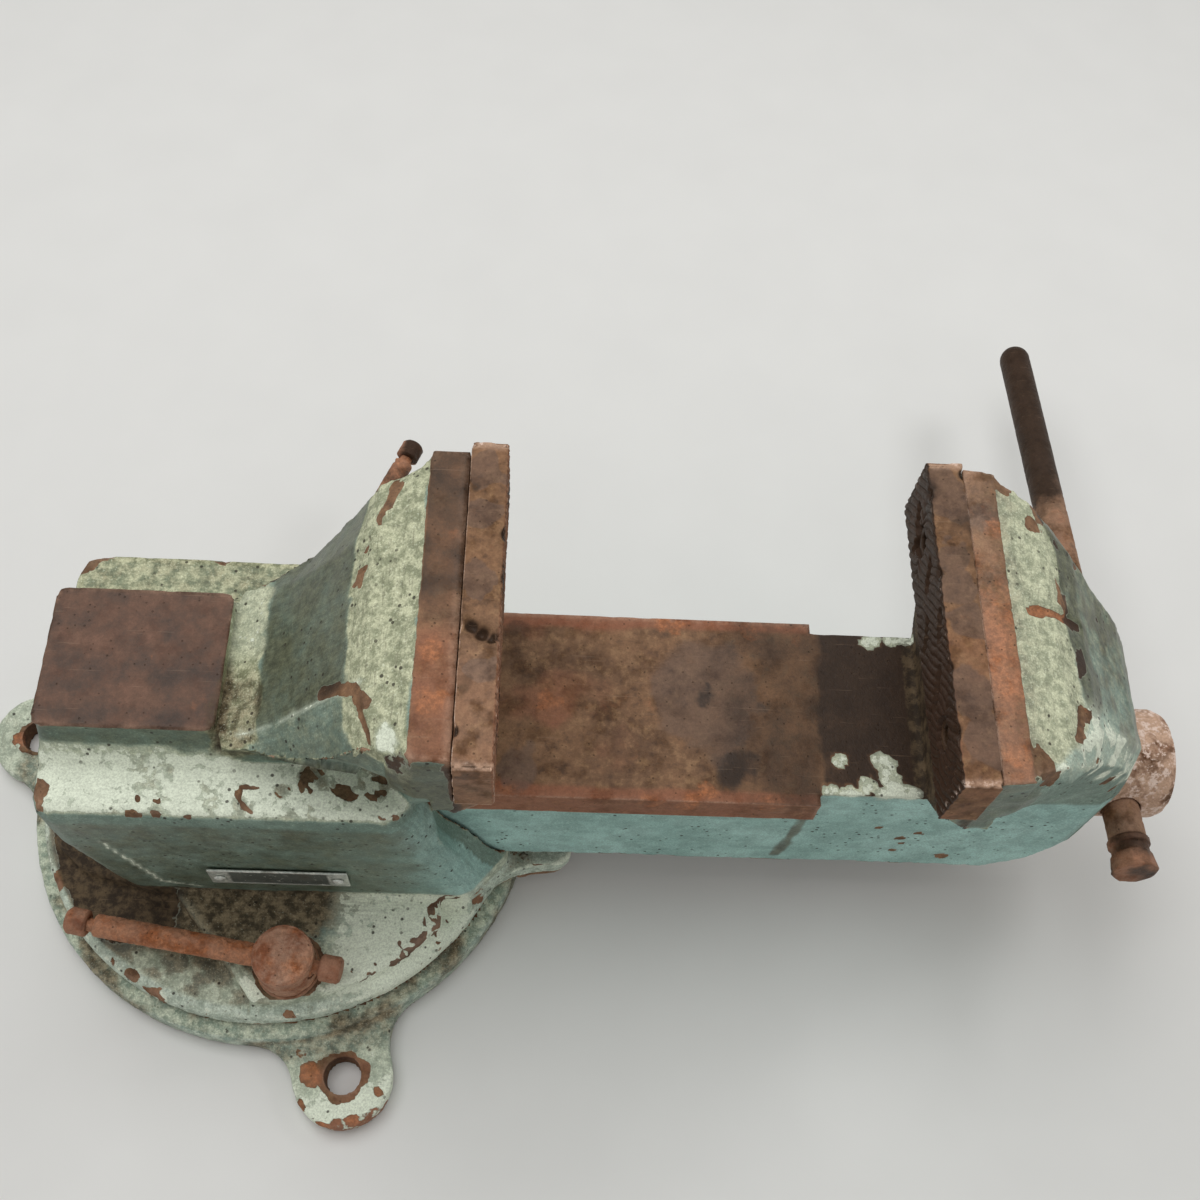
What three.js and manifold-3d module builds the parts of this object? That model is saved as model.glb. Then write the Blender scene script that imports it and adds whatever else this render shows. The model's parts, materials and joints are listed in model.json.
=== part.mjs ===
// Swivel-base machinist vise, drawn with its jaws open.
// Millimetres. The origin is on the bench at the swivel axis, X runs along the vise from the anvil
// to the screw handle, and Z points up.

import * as THREE from 'three';
import { mergeVertices } from 'three/addons/utils/BufferGeometryUtils.js';
import Module from 'manifold-3d';

const wasm = await Module();
wasm.setup();

// Clearances
const restGap = 0.3;            // between two pieces that touch
const slideGap = 0.5;           // all round the beam in its tunnel
const boltClearance = 0.6;      // on the diameter of a hole that passes a bolt
const pressGap = 0.04;          // on the radius of a pin that is driven in
const cutOverrun = 4;           // how far a cutter runs past the face it opens

// Base ring with its three lugs
const baseHeight = 18;
const baseEdgeRound = 2.4;
const baseRimSlope = 4;
const lugHeight = 13;
const lugHoleStand = 21;        // from the ring's edge, on the lug at the front edge of the bench
const rearLugHoleStand = 8.5;   // the two lugs further back are shorter
const lugAngle = THREE.MathUtils.degToRad(-73.5);
const farLugAngle = THREE.MathUtils.degToRad(53);
const rearLugAngle = THREE.MathUtils.degToRad(168.7);
const lugHalfWidth = 26;
const lugFillet = 25;
const lugHoleDiameter = 17.5;

// Round T-slot in the base, which the lock nuts run in
const slotMargin = 31.3;        // from the middle of the slot to the ring's edge
const slotNeckWidth = 17;
const slotWidth = 30;
const slotFloor = 4;
const slotHeight = 7;
const slotEntryDiameter = 40;

// Swivel pin
const pinDiameter = 38;
const pinDepth = 12;
const pinStand = 13;
const pinChamfer = 1.5;

// Swivel plate, the round foot of the body casting
const plateInset = 8;           // from the base ring's edge to the plate's
const plateThickness = 11.7;
const plateEdgeRound = 4;
const padHeight = 9;
const padInset = 7;
const padSlope = 5;
const padFrontAngle = THREE.MathUtils.degToRad(41);
const padRearAngle = THREE.MathUtils.degToRad(91);
const padWallFoot = 48;
const rearPadHalfAngle = THREE.MathUtils.degToRad(20);
const rearPadHalfWidth = 56;
const rearPadInset = 31;
const toeStand = 22;            // how far the toe reaches past the base ring
const toeHalfWidth = 43;
const toeCornerRadius = 11;
const toeRootInset = 36;
const toeRootHalfWidth = 66;
const toeFlareInset = 5;
const toeFlareRadius = 16;
const toeDepth = 16;
const toeRiseStand = 7;
const toeTipThickness = 9;

// Body casting
const floorThickness = 17.2;
const beamHeight = 100;
const roofThickness = 10.4;
const torsoRear = 88.5;
const torsoHalfWidth = 66.8;
const torsoCornerRadius = 9;
const torsoFrontCorner = 114;
const torsoFrontCentre = 127;
const anvilHeight = 22.4;
const anvilRear = 86;
const anvilFront = -5.6;
const anvilHalfWidth = 34.5;
const anvilCornerRadius = 6;

// Jaws
const jawPlateLength = 152.4;
const jawPlateHeight = 38.8;
const jawPlateThickness = 17;
const jawPlateChamfer = 0.8;
const throatDepth = 104.8;
const fixedJawFace = 119.4;
const jawOpening = 182.4;
const jawHalfWidth = 74;
const movingJawHalfWidth = 74;
const jawStripDrop = 2.2;
const jawShelfDepth = 10;
const jawShelfHeight = 17;
const jawScrewSpacing = 92;
const jawScrewDiameter = 9.5;
const jawScrewHeadDiameter = 15;
const jawScrewHeadDepth = 9;
const jawScrewLength = 36;
const jawScrewSocketDiameter = 8;
const jawScrewSocketDepth = 5;
const jawScrewSunk = 2;         // the head lies this far below the gripping face

// Sliding beam and the nose of the moving jaw
const beamHalfWidth = 42;
const railHalfWidth = 47.5;
const railThickness = 19.6;
const railEnd = 269;
const beamRear = -5;
const beamWall = 13;
const beamRoof = 18;
const noseFront = 414;
const noseWall = 25;
const noseOverhang = 5.1;       // how far the rough nose stood past its machined face

// Main screw, its head and what holds it in the nose
const screwHeight = 97.5;
const screwDiameter = 31.8;
const screwTip = 20;
const screwTipChamfer = 3;
const screwHeadDiameter = 56;
const screwHeadLength = 40;
const screwHeadRound = 6;
const washerThickness = 3;
const washerDiameter = 52;
const collarDiameter = 50;
const collarLength = 14;
const collarPinDiameter = 6;
const nutLength = 40;
const nutFront = 102;
const nutHalfWidth = 26;
const nutHeight = 74;
const nutChamfer = 5;
const nutBoltDiameter = 10;
const nutBoltHeadDiameter = 16;
const nutBoltHeadHeight = 9;
const nutBoltSpacing = 22;
const nutBoltReach = 20;

// Handle bar
const handleDiameter = 18.6;
const handleLength = 362;
const handleNearReach = 62;
const handleTilt = THREE.MathUtils.degToRad(7.4);
const handleSeat = 15;
const capDiameter = 23;
const capLength = 18;
const capGrooveDepth = 2.2;
const capGrooveWidth = 4;
const capBore = 12;
const capBoreDepth = 11;

// Lock screws, their sliding bars and their nuts in the T-slot
const lockX = 16;
const lockStandOff = 36.67;     // from the body's side to a lock screw's axis
const lockShankDiameter = 15.6;
const lockHeadDiameter = 30.5;
const lockHeadHeight = 25;
const lockHeadRound = 2.2;
const lockWasherDiameter = 32;
const lockWasherThickness = 3;
const lockBarDiameter = 12;
const lockBarLength = 139;
const lockBarCapDiameter = 13.6;
const lockBarCapLength = 11;
const lockBarCapGap = 2.25;      // between the inner cap and the screw's head
const lockBarNeckDiameter = 8;
const lockBarNeckLength = 3;
const lockBarTenonLength = 7;
const nearBarAngle = THREE.MathUtils.degToRad(171);
const farBarAngle = THREE.MathUtils.degToRad(68.5);
const lockNutWidth = 26;
const lockNutLength = 32;
const lockNutHeight = 6;

// Nameplate
const nameplateLength = 68.5;
const nameplateHeight = 19.5;
const nameplateThickness = 1.2;
const nameplateCentreX = 11.2;
const nameplateCentreZ = 72;
const nameplateCorner = 2;
const rivetInset = 5.25;         // from the nameplate's end to a rivet's middle
const rivetDiameter = 6.4;
const rivetStand = 1.6;
const rivetShank = 2.4;
const rivetDepth = 6;

// Sizes that follow from the ones above
const lockY = torsoHalfWidth + lockStandOff;
const slotRadius = Math.hypot(lockX, lockY);
const baseRadius = slotRadius + slotMargin;
const plateRadius = baseRadius - plateInset;
const padRadius = plateRadius - padInset;
const rearPadReach = plateRadius - rearPadInset;
const toeReach = baseRadius + toeStand;
const toeRise = baseRadius + toeRiseStand;
const toeFlare = baseRadius - toeFlareInset;
const toeRoot = baseRadius - toeRootInset;
const plateBottom = baseHeight + restGap;
const plateTop = plateBottom + plateThickness;
const tunnelFloor = plateTop + floorThickness;
const beamBottom = tunnelFloor + slideGap;
const beamTop = beamBottom + beamHeight;
const tunnelRoof = beamTop + slideGap;
const shoulderTop = tunnelRoof + roofThickness;
const jawTop = beamTop + throatDepth;
const jawPlateBottom = jawTop - jawPlateHeight;
const stripTop = jawTop - jawStripDrop;
const fixedSeat = fixedJawFace - jawPlateThickness - restGap;
const movingJawFace = fixedJawFace + jawOpening;
const movingSeat = movingJawFace + jawPlateThickness + restGap;
const noseReach = noseFront + noseOverhang - movingSeat;
const padTop = plateTop + padHeight;
const lockBarOffset = lockBarLength / 2 - lockBarCapLength - lockBarCapGap - lockHeadDiameter / 2;
const lockWasherTop = padTop + restGap + lockWasherThickness;
const lockHeadBottom = lockWasherTop + restGap;
const handleX = noseFront + restGap + washerThickness + restGap + handleSeat;

// Fineness of round shapes, in flats to the turn
const castingSteps = 72;
const roundSteps = 40;
const smallRoundSteps = 24;
const fastenerSteps = 16;
const rivetSteps = 12;
const lugArcSteps = 7;
const cornerSteps = 4;
const padArcSteps = 8;
const domeSteps = 5;

// Shares that shape edges and overlaps
const easeShare = 0.3;           // where the middle corner of a rounded edge lies
const sideShare = 0.985;         // the body's half width where the nameplate sits
const padInsideShare = 0.8;      // how far in under the body a lock pad begins
const rearPadInsideShare = 0.6;  // how far in under the body the rear pad begins
const anvilRearSpreadShare = 0.2;
const rivetEdgeShare = 0.8;
const rivetEdgeRiseShare = 0.7;
const shelfFaceShare = 1 / 3;

// A closed skin made into a solid, its faces turned outwards.
function solidOf(geometry) {
  const bare = geometry.clone();
  bare.deleteAttribute('normal');
  bare.deleteAttribute('uv');
  const merged = mergeVertices(bare);
  const vertProperties = Float32Array.from(merged.attributes.position.array);
  const triVerts = Uint32Array.from(merged.index.array);
  if (signedVolume(vertProperties, triVerts) < 0) triVerts.reverse();
  return new wasm.Manifold(new wasm.Mesh({ numProp: 3, vertProperties, triVerts }));
}

function signedVolume(positions, triangles) {
  const corner = (i) => new THREE.Vector3().fromArray(positions, 3 * triangles[i]);
  let volume = 0;
  for (let i = 0; i < triangles.length; i += 3) {
    volume += corner(i).dot(corner(i + 1).cross(corner(i + 2))) / 6;
  }
  return volume;
}

function geometryOf(solid) {
  const mesh = solid.getMesh();
  const geometry = new THREE.BufferGeometry();
  geometry.setAttribute('position', new THREE.BufferAttribute(Float32Array.from(mesh.vertProperties), 3));
  geometry.setIndex(new THREE.BufferAttribute(Uint32Array.from(mesh.triVerts), 1));
  return geometry;
}

function united(solids) {
  return solids.reduce((whole, piece) => whole.add(piece));
}

function cutFrom(solid, cutters) {
  return cutters.reduce((rest, cutter) => rest.subtract(cutter), solid);
}

// A block between two corners.
function block(low, high) {
  const from = new THREE.Vector3(...low);
  const to = new THREE.Vector3(...high);
  const size = to.clone().sub(from);
  const centre = from.add(to).multiplyScalar(1 / 2);
  return solidOf(new THREE.BoxGeometry(...size).translate(...centre));
}

// A round form about the Z axis, from a profile of [radius, height] pairs.
function turned(profile, steps = roundSteps) {
  const points = profile.map(([radius, height]) => new THREE.Vector2(radius, height));
  return new THREE.LatheGeometry(points, steps).rotateX(Math.PI / 2);
}

function rod(radius, low, high, steps = smallRoundSteps) {
  return turned([[0, low], [radius, low], [radius, high], [0, high]], steps);
}

// Turns a form that stands along Z so that it lies along X.
function along(geometry) {
  return geometry.rotateY(Math.PI / 2);
}

// A flat outline given a height, with its edges rounded over when asked.
function slab(outline, low, high, round = 0) {
  const geometry = new THREE.ExtrudeGeometry(new THREE.Shape(outline), {
    depth: high - low - 2 * round,
    bevelEnabled: round > 0,
    bevelSize: round,
    bevelThickness: round,
    bevelOffset: -round,
    bevelSegments: 2,
  });
  return solidOf(geometry.translate(0, 0, low + round));
}

// A side view of [x, z] points given a width across the vise.
function acrossY(points, halfWidth) {
  const shape = new THREE.Shape(points.map(([x, z]) => new THREE.Vector2(x, z)));
  const geometry = new THREE.ExtrudeGeometry(shape, { depth: 2 * halfWidth, bevelEnabled: false });
  return solidOf(geometry.rotateX(Math.PI / 2).translate(0, halfWidth, 0));
}

// Skin stretched over a stack of rings that hold the same number of points each.
function loft(rings) {
  const count = rings[0].length;
  const positions = rings.flat().flatMap((point) => [point.x, point.y, point.z]);
  const faces = [];
  for (let level = 0; level + 1 < rings.length; level += 1) {
    for (let i = 0; i < count; i += 1) {
      const a = level * count + i;
      const b = level * count + ((i + 1) % count);
      faces.push(a, b, b + count, a, b + count, a + count);
    }
  }
  const capOf = (ring) => THREE.ShapeUtils.triangulateShape(ring.map((p) => new THREE.Vector2(p.x, p.y)), []);
  const top = (rings.length - 1) * count;
  for (const [a, b, c] of capOf(rings[0])) faces.push(c, b, a);
  for (const [a, b, c] of capOf(rings[rings.length - 1])) faces.push(top + a, top + b, top + c);
  const geometry = new THREE.BufferGeometry();
  geometry.setAttribute('position', new THREE.BufferAttribute(new Float32Array(positions), 3));
  geometry.setIndex(faces);
  return solidOf(geometry);
}

// A level ring that is alike on both sides of the XZ plane, from its +Y half listed rear to front.
function levelRing(half, height) {
  const far = half.map(([x, y]) => new THREE.Vector3(x, y, height));
  const near = half.map(([x, y]) => new THREE.Vector3(x, -y, height));
  return [...near, ...far.reverse()];
}

// An outline of [x, y, radius] corners, each turned to a curve of about that radius.
function roundedOutline(corners) {
  return corners.flatMap(([x, y, radius], i) => {
    const here = new THREE.Vector2(x, y);
    if (radius === 0) return [here];
    const [px, py] = corners[(i + corners.length - 1) % corners.length];
    const [nx, ny] = corners[(i + 1) % corners.length];
    const back = new THREE.Vector2(px, py).sub(here).normalize();
    const on = new THREE.Vector2(nx, ny).sub(here).normalize();
    const start = here.clone().addScaledVector(back, radius);
    const end = here.clone().addScaledVector(on, radius);
    return new THREE.QuadraticBezierCurve(start, here, end).getPoints(cornerSteps);
  });
}

function mirrored(outline) {
  return outline.map((point) => new THREE.Vector2(point.x, -point.y)).reverse();
}

function material(name, color, roughness, metalness) {
  const finish = new THREE.MeshStandardMaterial({ color, roughness, metalness });
  finish.name = name;
  return finish;
}

const casting = material('painted casting', 0x8fb3a6, 0.6, 0.1);
const machined = material('worn machined iron', 0x6f5144, 0.55, 0.6);
const rusted = material('rusted steel', 0x8a4a35, 0.75, 0.4);
const plateMetal = material('nameplate metal', 0x9a9a94, 0.4, 0.9);

function part(name, solid, finish) {
  const mesh = new THREE.Mesh(geometryOf(solid), finish);
  mesh.name = name;
  return mesh;
}

// The lugs in order round the base, each with its angle and the reach of its bolt hole.
const lugs = [
  { angle: lugAngle, reach: baseRadius + lugHoleStand },
  { angle: farLugAngle, reach: baseRadius + rearLugHoleStand },
  { angle: rearLugAngle, reach: baseRadius + rearLugHoleStand },
];

// The base's outline: a ring with lugs that run into it through hollow fillets.
function baseOutline() {
  const shape = new THREE.Shape();
  const offAxis = lugHalfWidth + lugFillet;
  const fillet = Math.sqrt((baseRadius + lugFillet) ** 2 - offAxis ** 2);
  const swing = Math.atan2(offAxis, fillet);
  lugs.forEach(({ angle, reach }, i) => {
    const place = (u, v) => new THREE.Vector2(u, v).rotateAround(new THREE.Vector2(), angle);
    const right = place(fillet, -offAxis);
    const left = place(fillet, offAxis);
    const end = place(reach, 0);
    const meet = Math.PI / 2 - Math.asin(Math.min(1, Math.max(0, (fillet - reach) / lugFillet)));
    shape.absarc(right.x, right.y, lugFillet, angle + Math.PI - swing, angle + Math.PI - meet, true);
    shape.absarc(end.x, end.y, lugHalfWidth, angle - Math.PI / 2, angle + Math.PI / 2, false);
    shape.absarc(left.x, left.y, lugFillet, angle - Math.PI + meet, angle - Math.PI + swing, true);
    const next = lugs[(i + 1) % lugs.length].angle;
    const turn = (next - angle + 2 * Math.PI) % (2 * Math.PI);
    shape.absarc(0, 0, baseRadius, angle + swing, angle + turn - swing, false);
  });
  const points = shape.getPoints(lugArcSteps);
  return points.filter((point, i) => point.distanceTo(points[(i + 1) % points.length]) > restGap);
}

function lugHoles() {
  return lugs.map(({ angle, reach }) => {
    const hole = rod(lugHoleDiameter / 2, -cutOverrun, baseHeight + cutOverrun);
    return solidOf(hole.translate(reach * Math.cos(angle), reach * Math.sin(angle), 0));
  });
}

// The ring stands a little higher than the lugs, and its rim slopes down to them.
function baseRing() {
  return solidOf(turned([
    [0, 0], [baseRadius - baseEdgeRound, 0], [baseRadius, baseEdgeRound], [baseRadius, lugHeight],
    [baseRadius - baseRimSlope * easeShare, baseHeight - baseRimSlope * easeShare],
    [baseRadius - baseRimSlope, baseHeight], [0, baseHeight],
  ], castingSteps));
}

function basePlate() {
  const slotInner = slotRadius - slotWidth / 2;
  const slotOuter = slotRadius + slotWidth / 2;
  const neckInner = slotRadius - slotNeckWidth / 2;
  const neckOuter = slotRadius + slotNeckWidth / 2;
  const slotTop = slotFloor + slotHeight;
  const above = baseHeight + cutOverrun;
  const teeSlot = turned([
    [slotInner, slotFloor], [slotOuter, slotFloor], [slotOuter, slotTop], [neckOuter, slotTop],
    [neckOuter, above], [neckInner, above], [neckInner, slotTop], [slotInner, slotTop],
    [slotInner, slotFloor],
  ]);
  const entry = rod(slotEntryDiameter / 2, slotFloor, above).translate(-slotRadius, 0, 0);
  const pinHole = rod(pinDiameter / 2 + pressGap, baseHeight - pinDepth - restGap, above);
  const casting = slab(baseOutline(), 0, lugHeight, baseEdgeRound).add(baseRing());
  return cutFrom(casting, [solidOf(teeSlot), solidOf(entry), solidOf(pinHole), ...lugHoles()]);
}

function swivelPin() {
  const low = baseHeight - pinDepth;
  const high = baseHeight + pinStand;
  const radius = pinDiameter / 2;
  return solidOf(turned([
    [0, low], [radius - pinChamfer, low], [radius, low + pinChamfer],
    [radius, high - pinChamfer], [radius - pinChamfer, high], [0, high],
  ], smallRoundSteps));
}

// The round foot that turns on the base, with its top edge rounded over.
function footDisc() {
  const eased = plateEdgeRound * easeShare;
  return solidOf(turned([
    [0, plateBottom], [plateRadius - eased, plateBottom], [plateRadius, plateBottom + eased],
    [plateRadius, plateTop - plateEdgeRound], [plateRadius - eased, plateTop - eased],
    [plateRadius - plateEdgeRound, plateTop], [0, plateTop],
  ], castingSteps));
}

// Raised seat for a lock screw: an arc along the rim, closed by a wall that slants back to the body.
function lockPadOutline() {
  const rim = Array.from({ length: padArcSteps + 1 }, (_, i) => {
    const angle = -padFrontAngle + ((padFrontAngle - padRearAngle) * i) / padArcSteps;
    return new THREE.Vector2(padRadius * Math.cos(angle), padRadius * Math.sin(angle));
  });
  const inside = torsoHalfWidth * padInsideShare;
  return [
    ...rim,
    new THREE.Vector2(-padWallFoot, -torsoHalfWidth),
    new THREE.Vector2(-padWallFoot, -inside),
    new THREE.Vector2(rim[0].x, -inside),
  ].reverse();
}

function rearPadOutline() {
  const rimX = -padRadius * Math.cos(rearPadHalfAngle);
  const rimY = padRadius * Math.sin(rearPadHalfAngle);
  const inside = -torsoRear * rearPadInsideShare;
  const corners = [
    [inside, -torsoHalfWidth, 0], [inside, torsoHalfWidth, 0],
    [-rearPadReach, rearPadHalfWidth, padSlope], [rimX, rimY, padSlope],
    [-padRadius, 0, rimY / 2],
    [rimX, -rimY, padSlope], [-rearPadReach, -rearPadHalfWidth, padSlope],
  ];
  return roundedOutline(corners);
}

// The foot's forward tongue under the beam, which passes over the lugs as the vise swivels.
function toe() {
  const half = [
    [toeRoot, toeRootHalfWidth, 0], [toeFlare, toeHalfWidth, toeFlareRadius],
    [toeReach, toeHalfWidth, toeCornerRadius],
  ];
  const outline = roundedOutline([...half.map(([x, y, r]) => [x, -y, r]), ...half.reverse()]);
  const low = plateTop - toeDepth;
  const side = [
    [toeRoot, low], [toeRise, low], [toeReach, plateTop - toeTipThickness],
    [toeReach, plateTop], [toeRoot, plateTop],
  ];
  const ringRoom = solidOf(rod(baseRadius + slideGap, 0, plateBottom, castingSteps));
  return slab(outline, low, plateTop).intersect(acrossY(side, toeRootHalfWidth)).subtract(ringRoom);
}

// The body's outline at rising heights, as shares of its sizes: height, rear, front corner,
// front beside the beam, half width.
const torsoShares = [
  [0.126, 0.77, 1.0, 1.0, 0.97],
  [0.3, 0.834, 0.943, 0.96, 0.978],
  [0.365, 0.866, 0.912, 0.902, sideShare],
  [0.528, 0.931, 0.851, 0.824, sideShare],
  [0.616, 0.966, 0.811, 0.752, 0.99],
  [0.698, 0.994, 0.781, 0.705, 0.993],
  [0.943, 1.0, 0.69, 0.677, 1.0],
  [0.975, 0.995, 0.685, 0.675, 0.995],
  [0.993, 0.98, 0.675, 0.67, 0.975],
  [1.0, 0.955, 0.66, 0.66, 0.94],
];

function torso() {
  const ease = torsoCornerRadius * easeShare;
  return loft(torsoShares.map(([height, rear, corner, centre, half]) => {
    const back = -torsoRear * rear;
    const side = torsoHalfWidth * half;
    const front = torsoFrontCorner * corner;
    return levelRing([
      [back, side - torsoCornerRadius], [back + ease, side - ease], [back + torsoCornerRadius, side],
      [front - torsoCornerRadius, side], [front - ease, side - ease],
      [front + ease, side - torsoCornerRadius], [torsoFrontCentre * centre, beamHalfWidth],
    ], shoulderTop * height);
  }));
}

// The anvil block, spreading into the shoulder: shares of its height, and how far it spreads there.
const anvilSpreadShares = [
  [-0.5, 2.2],
  [0, 1.7],
  [0.16, 0.95],
  [0.42, 0.4],
  [0.7, 0.12],
  [1, 0],
];

function anvil() {
  return loft(anvilSpreadShares.map(([height, spread]) => {
    const grow = spread * anvilCornerRadius;
    const back = -anvilRear - grow * anvilRearSpreadShare;
    const front = anvilFront + grow;
    const side = anvilHalfWidth + grow;
    const outline = roundedOutline([
      [back, -side, anvilCornerRadius], [front, -side, anvilCornerRadius],
      [front, side, anvilCornerRadius], [back, side, anvilCornerRadius],
    ]);
    return outline.map((p) => new THREE.Vector3(p.x, p.y, shoulderTop + anvilHeight * height));
  }));
}

// The upstand behind the fixed jaw at rising heights between the beam and the jaw's top. Across
// are shares of the jaw's half width, along are shares of the distance to its seat.
const neckShares = [
  [0, -0.1, 0.49, -0.08, 0.6, 0.59, 0.59, 0.78, 0.73, 0.88, 0.7],
  [0.113, -0.08, 0.49, -0.07, 0.54, 0.59, 0.54, 0.78, 0.77, 0.94, 0.75],
  [0.18, -0.06, 0.49, -0.05, 0.525, 0.59, 0.545, 0.8, 0.78, 0.97, 0.78],
  [0.26, -0.05, 0.49, -0.03, 0.55, 0.59, 0.59, 0.82, 0.82, 0.99, 0.82],
  [0.285, 0.02, 0.49, 0.05, 0.57, 0.59, 0.62, 0.83, 0.84, 1, 0.84],
  [0.32, 0.09, 0.49, 0.14, 0.62, 0.59, 0.67, 0.83, 0.855, 1, 0.855],
  [0.4065, 0.196, 0.49, 0.284, 0.7, 0.59, 0.755, 0.843, 0.895, 1, 0.895],
  [0.553, 0.328, 0.49, 0.412, 0.776, 0.59, 0.832, 0.843, 0.965, 1, 0.965],
  [0.632, 0.397, 0.49, 0.475, 0.811, 0.6, 0.86, 0.843, 1, 1, 1],
  [0.8374, 0.56, 0.51, 0.607, 0.867, 0.65, 0.876, 0.843, 1, 1, 1],
  [0.905, 0.62, 0.56, 0.705, 0.881, 0.725, 0.888, 0.843, 1, 1, 1],
  [0.955, 0.74, 0.7, 0.775, 0.87, 0.785, 0.895, 0.843, 0.99, 1, 0.99],
  [1, 0.83, 0.8, 0.835, 0.92, 0.84, 0.96, 0.843, 0.97, 1, 0.97],
];

function neck() {
  return loft(neckShares.map(([height, ...shares]) => {
    const half = [];
    for (let i = 0; i < shares.length; i += 2) {
      half.push([shares[i] * fixedSeat, shares[i + 1] * jawHalfWidth]);
    }
    return levelRing(half, tunnelRoof + (stripTop - tunnelRoof) * height);
  }));
}

// The ledge under a jaw plate. Facing is 1 where the jaw grips towards +X and -1 the other way.
function jawShelf(seat, facing, halfWidth) {
  const top = jawPlateBottom - restGap;
  return acrossY([
    [seat - facing * jawShelfDepth, top], [seat + facing * jawShelfDepth, top],
    [seat + facing * jawShelfDepth, top - jawShelfHeight * shelfFaceShare],
    [seat, top - jawShelfHeight], [seat - facing * jawShelfDepth, top - jawShelfHeight],
  ], halfWidth);
}

// The screws of a jaw plate lie along X, two to a plate.
function jawScrewPlaces() {
  const height = jawPlateBottom + jawPlateHeight / 2;
  return [-jawScrewSpacing / 2, jawScrewSpacing / 2].map((y) => [y, height]);
}

function jawScrewForms(face, facing, makeForm) {
  return jawScrewPlaces().map(([y, height]) => {
    const form = along(makeForm());
    if (facing > 0) form.rotateY(Math.PI);
    return solidOf(form.translate(face, y, height));
  });
}

// Drawn from the gripping face inwards along its own axis.
function jawScrewSeats(face, facing) {
  const radius = (jawScrewHeadDiameter + boltClearance) / 2;
  const shank = (jawScrewDiameter + boltClearance) / 2;
  const depth = jawScrewHeadDepth + jawScrewLength + cutOverrun;
  const recess = jawScrewForms(face, facing, () => rod(radius, -cutOverrun, jawScrewHeadDepth + restGap));
  const bore = jawScrewForms(face, facing, () => rod(shank, 0, depth));
  return [...recess, ...bore];
}

function jawScrew(face, facing, which) {
  const head = jawScrewHeadDiameter / 2;
  const shank = jawScrewDiameter / 2;
  const socket = jawScrewSocketDiameter / 2;
  const start = jawScrewSunk;
  const form = () => turned([
    [0, start + jawScrewSocketDepth], [socket, start + jawScrewSocketDepth], [socket, start],
    [head, start], [head, jawScrewHeadDepth], [shank, jawScrewHeadDepth],
    [shank, jawScrewHeadDepth + jawScrewLength], [0, jawScrewHeadDepth + jawScrewLength],
  ], fastenerSteps);
  return jawScrewForms(face, facing, form)[which];
}

function jawPlate(face, facing) {
  const back = face - facing * jawPlateThickness;
  const c = jawPlateChamfer;
  const low = Math.min(face, back);
  const high = Math.max(face, back);
  const section = [
    [low, jawPlateBottom], [high, jawPlateBottom], [high, jawTop - c], [high - c, jawTop],
    [low + c, jawTop], [low, jawTop - c],
  ];
  return cutFrom(acrossY(section, jawPlateLength / 2), jawScrewSeats(face, facing));
}

function tunnel() {
  const rear = -torsoRear - cutOverrun;
  const front = torsoFrontCentre + cutOverrun;
  const rail = railHalfWidth + slideGap;
  const side = beamHalfWidth + slideGap;
  const railBottom = beamTop - railThickness - slideGap;
  return [
    block([rear, -rail, railBottom], [front, rail, tunnelRoof]),
    block([rear, -side, tunnelFloor], [front, side, tunnelRoof]),
  ];
}

function nutBoltPlaces() {
  const middle = nutFront - nutLength / 2;
  return [middle - nutBoltSpacing / 2, middle + nutBoltSpacing / 2];
}

function nutBoltSeat() {
  return plateBottom + nutBoltHeadHeight + restGap;
}

function nutBoltHoles() {
  return nutBoltPlaces().flatMap((x) => {
    const headRadius = (nutBoltHeadDiameter + boltClearance) / 2;
    const head = rod(headRadius, plateBottom - cutOverrun, nutBoltSeat() + restGap, fastenerSteps);
    const top = tunnelFloor + nutBoltReach + cutOverrun;
    const shank = rod((nutBoltDiameter + boltClearance) / 2, plateBottom, top, fastenerSteps);
    return [solidOf(head.translate(x, 0, 0)), solidOf(shank.translate(x, 0, 0))];
  });
}

function rivetPlaces() {
  const step = nameplateLength / 2 - rivetInset;
  return [nameplateCentreX - step, nameplateCentreX + step];
}

// The near side of the body, which carries the nameplate.
const nearSide = -torsoHalfWidth * sideShare;

function alongY(geometry) {
  return geometry.rotateX(Math.PI / 2);
}

function rivetHoles(radius, from, to) {
  return rivetPlaces().map((x) => {
    return solidOf(alongY(rod(radius, -to, -from, rivetSteps)).translate(x, 0, nameplateCentreZ));
  });
}

function viseBody() {
  const solid = united([
    footDisc(), slab(lockPadOutline(), plateTop - padHeight, padTop, padSlope),
    slab(mirrored(lockPadOutline()), plateTop - padHeight, padTop, padSlope),
    slab(rearPadOutline(), plateTop - padHeight, padTop, padSlope),
    toe(), torso(), anvil(), neck(), jawShelf(fixedSeat, 1, jawHalfWidth),
  ]);
  const lockRadius = (lockShankDiameter + boltClearance) / 2;
  const lockHole = (side) => solidOf(
    rod(lockRadius, plateBottom - cutOverrun, padTop + cutOverrun).translate(lockX, side * lockY, 0),
  );
  const pinRadius = (pinDiameter + boltClearance) / 2;
  const pinHole = rod(pinRadius, plateBottom - cutOverrun, baseHeight + pinStand + restGap);
  return cutFrom(solid, [
    ...tunnel(), lockHole(-1), lockHole(1), solidOf(pinHole), ...nutBoltHoles(),
    ...jawScrewSeats(fixedJawFace, 1),
    ...rivetHoles(rivetShank / 2 + restGap, nearSide - cutOverrun, nearSide + rivetDepth + restGap),
  ]);
}

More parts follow.
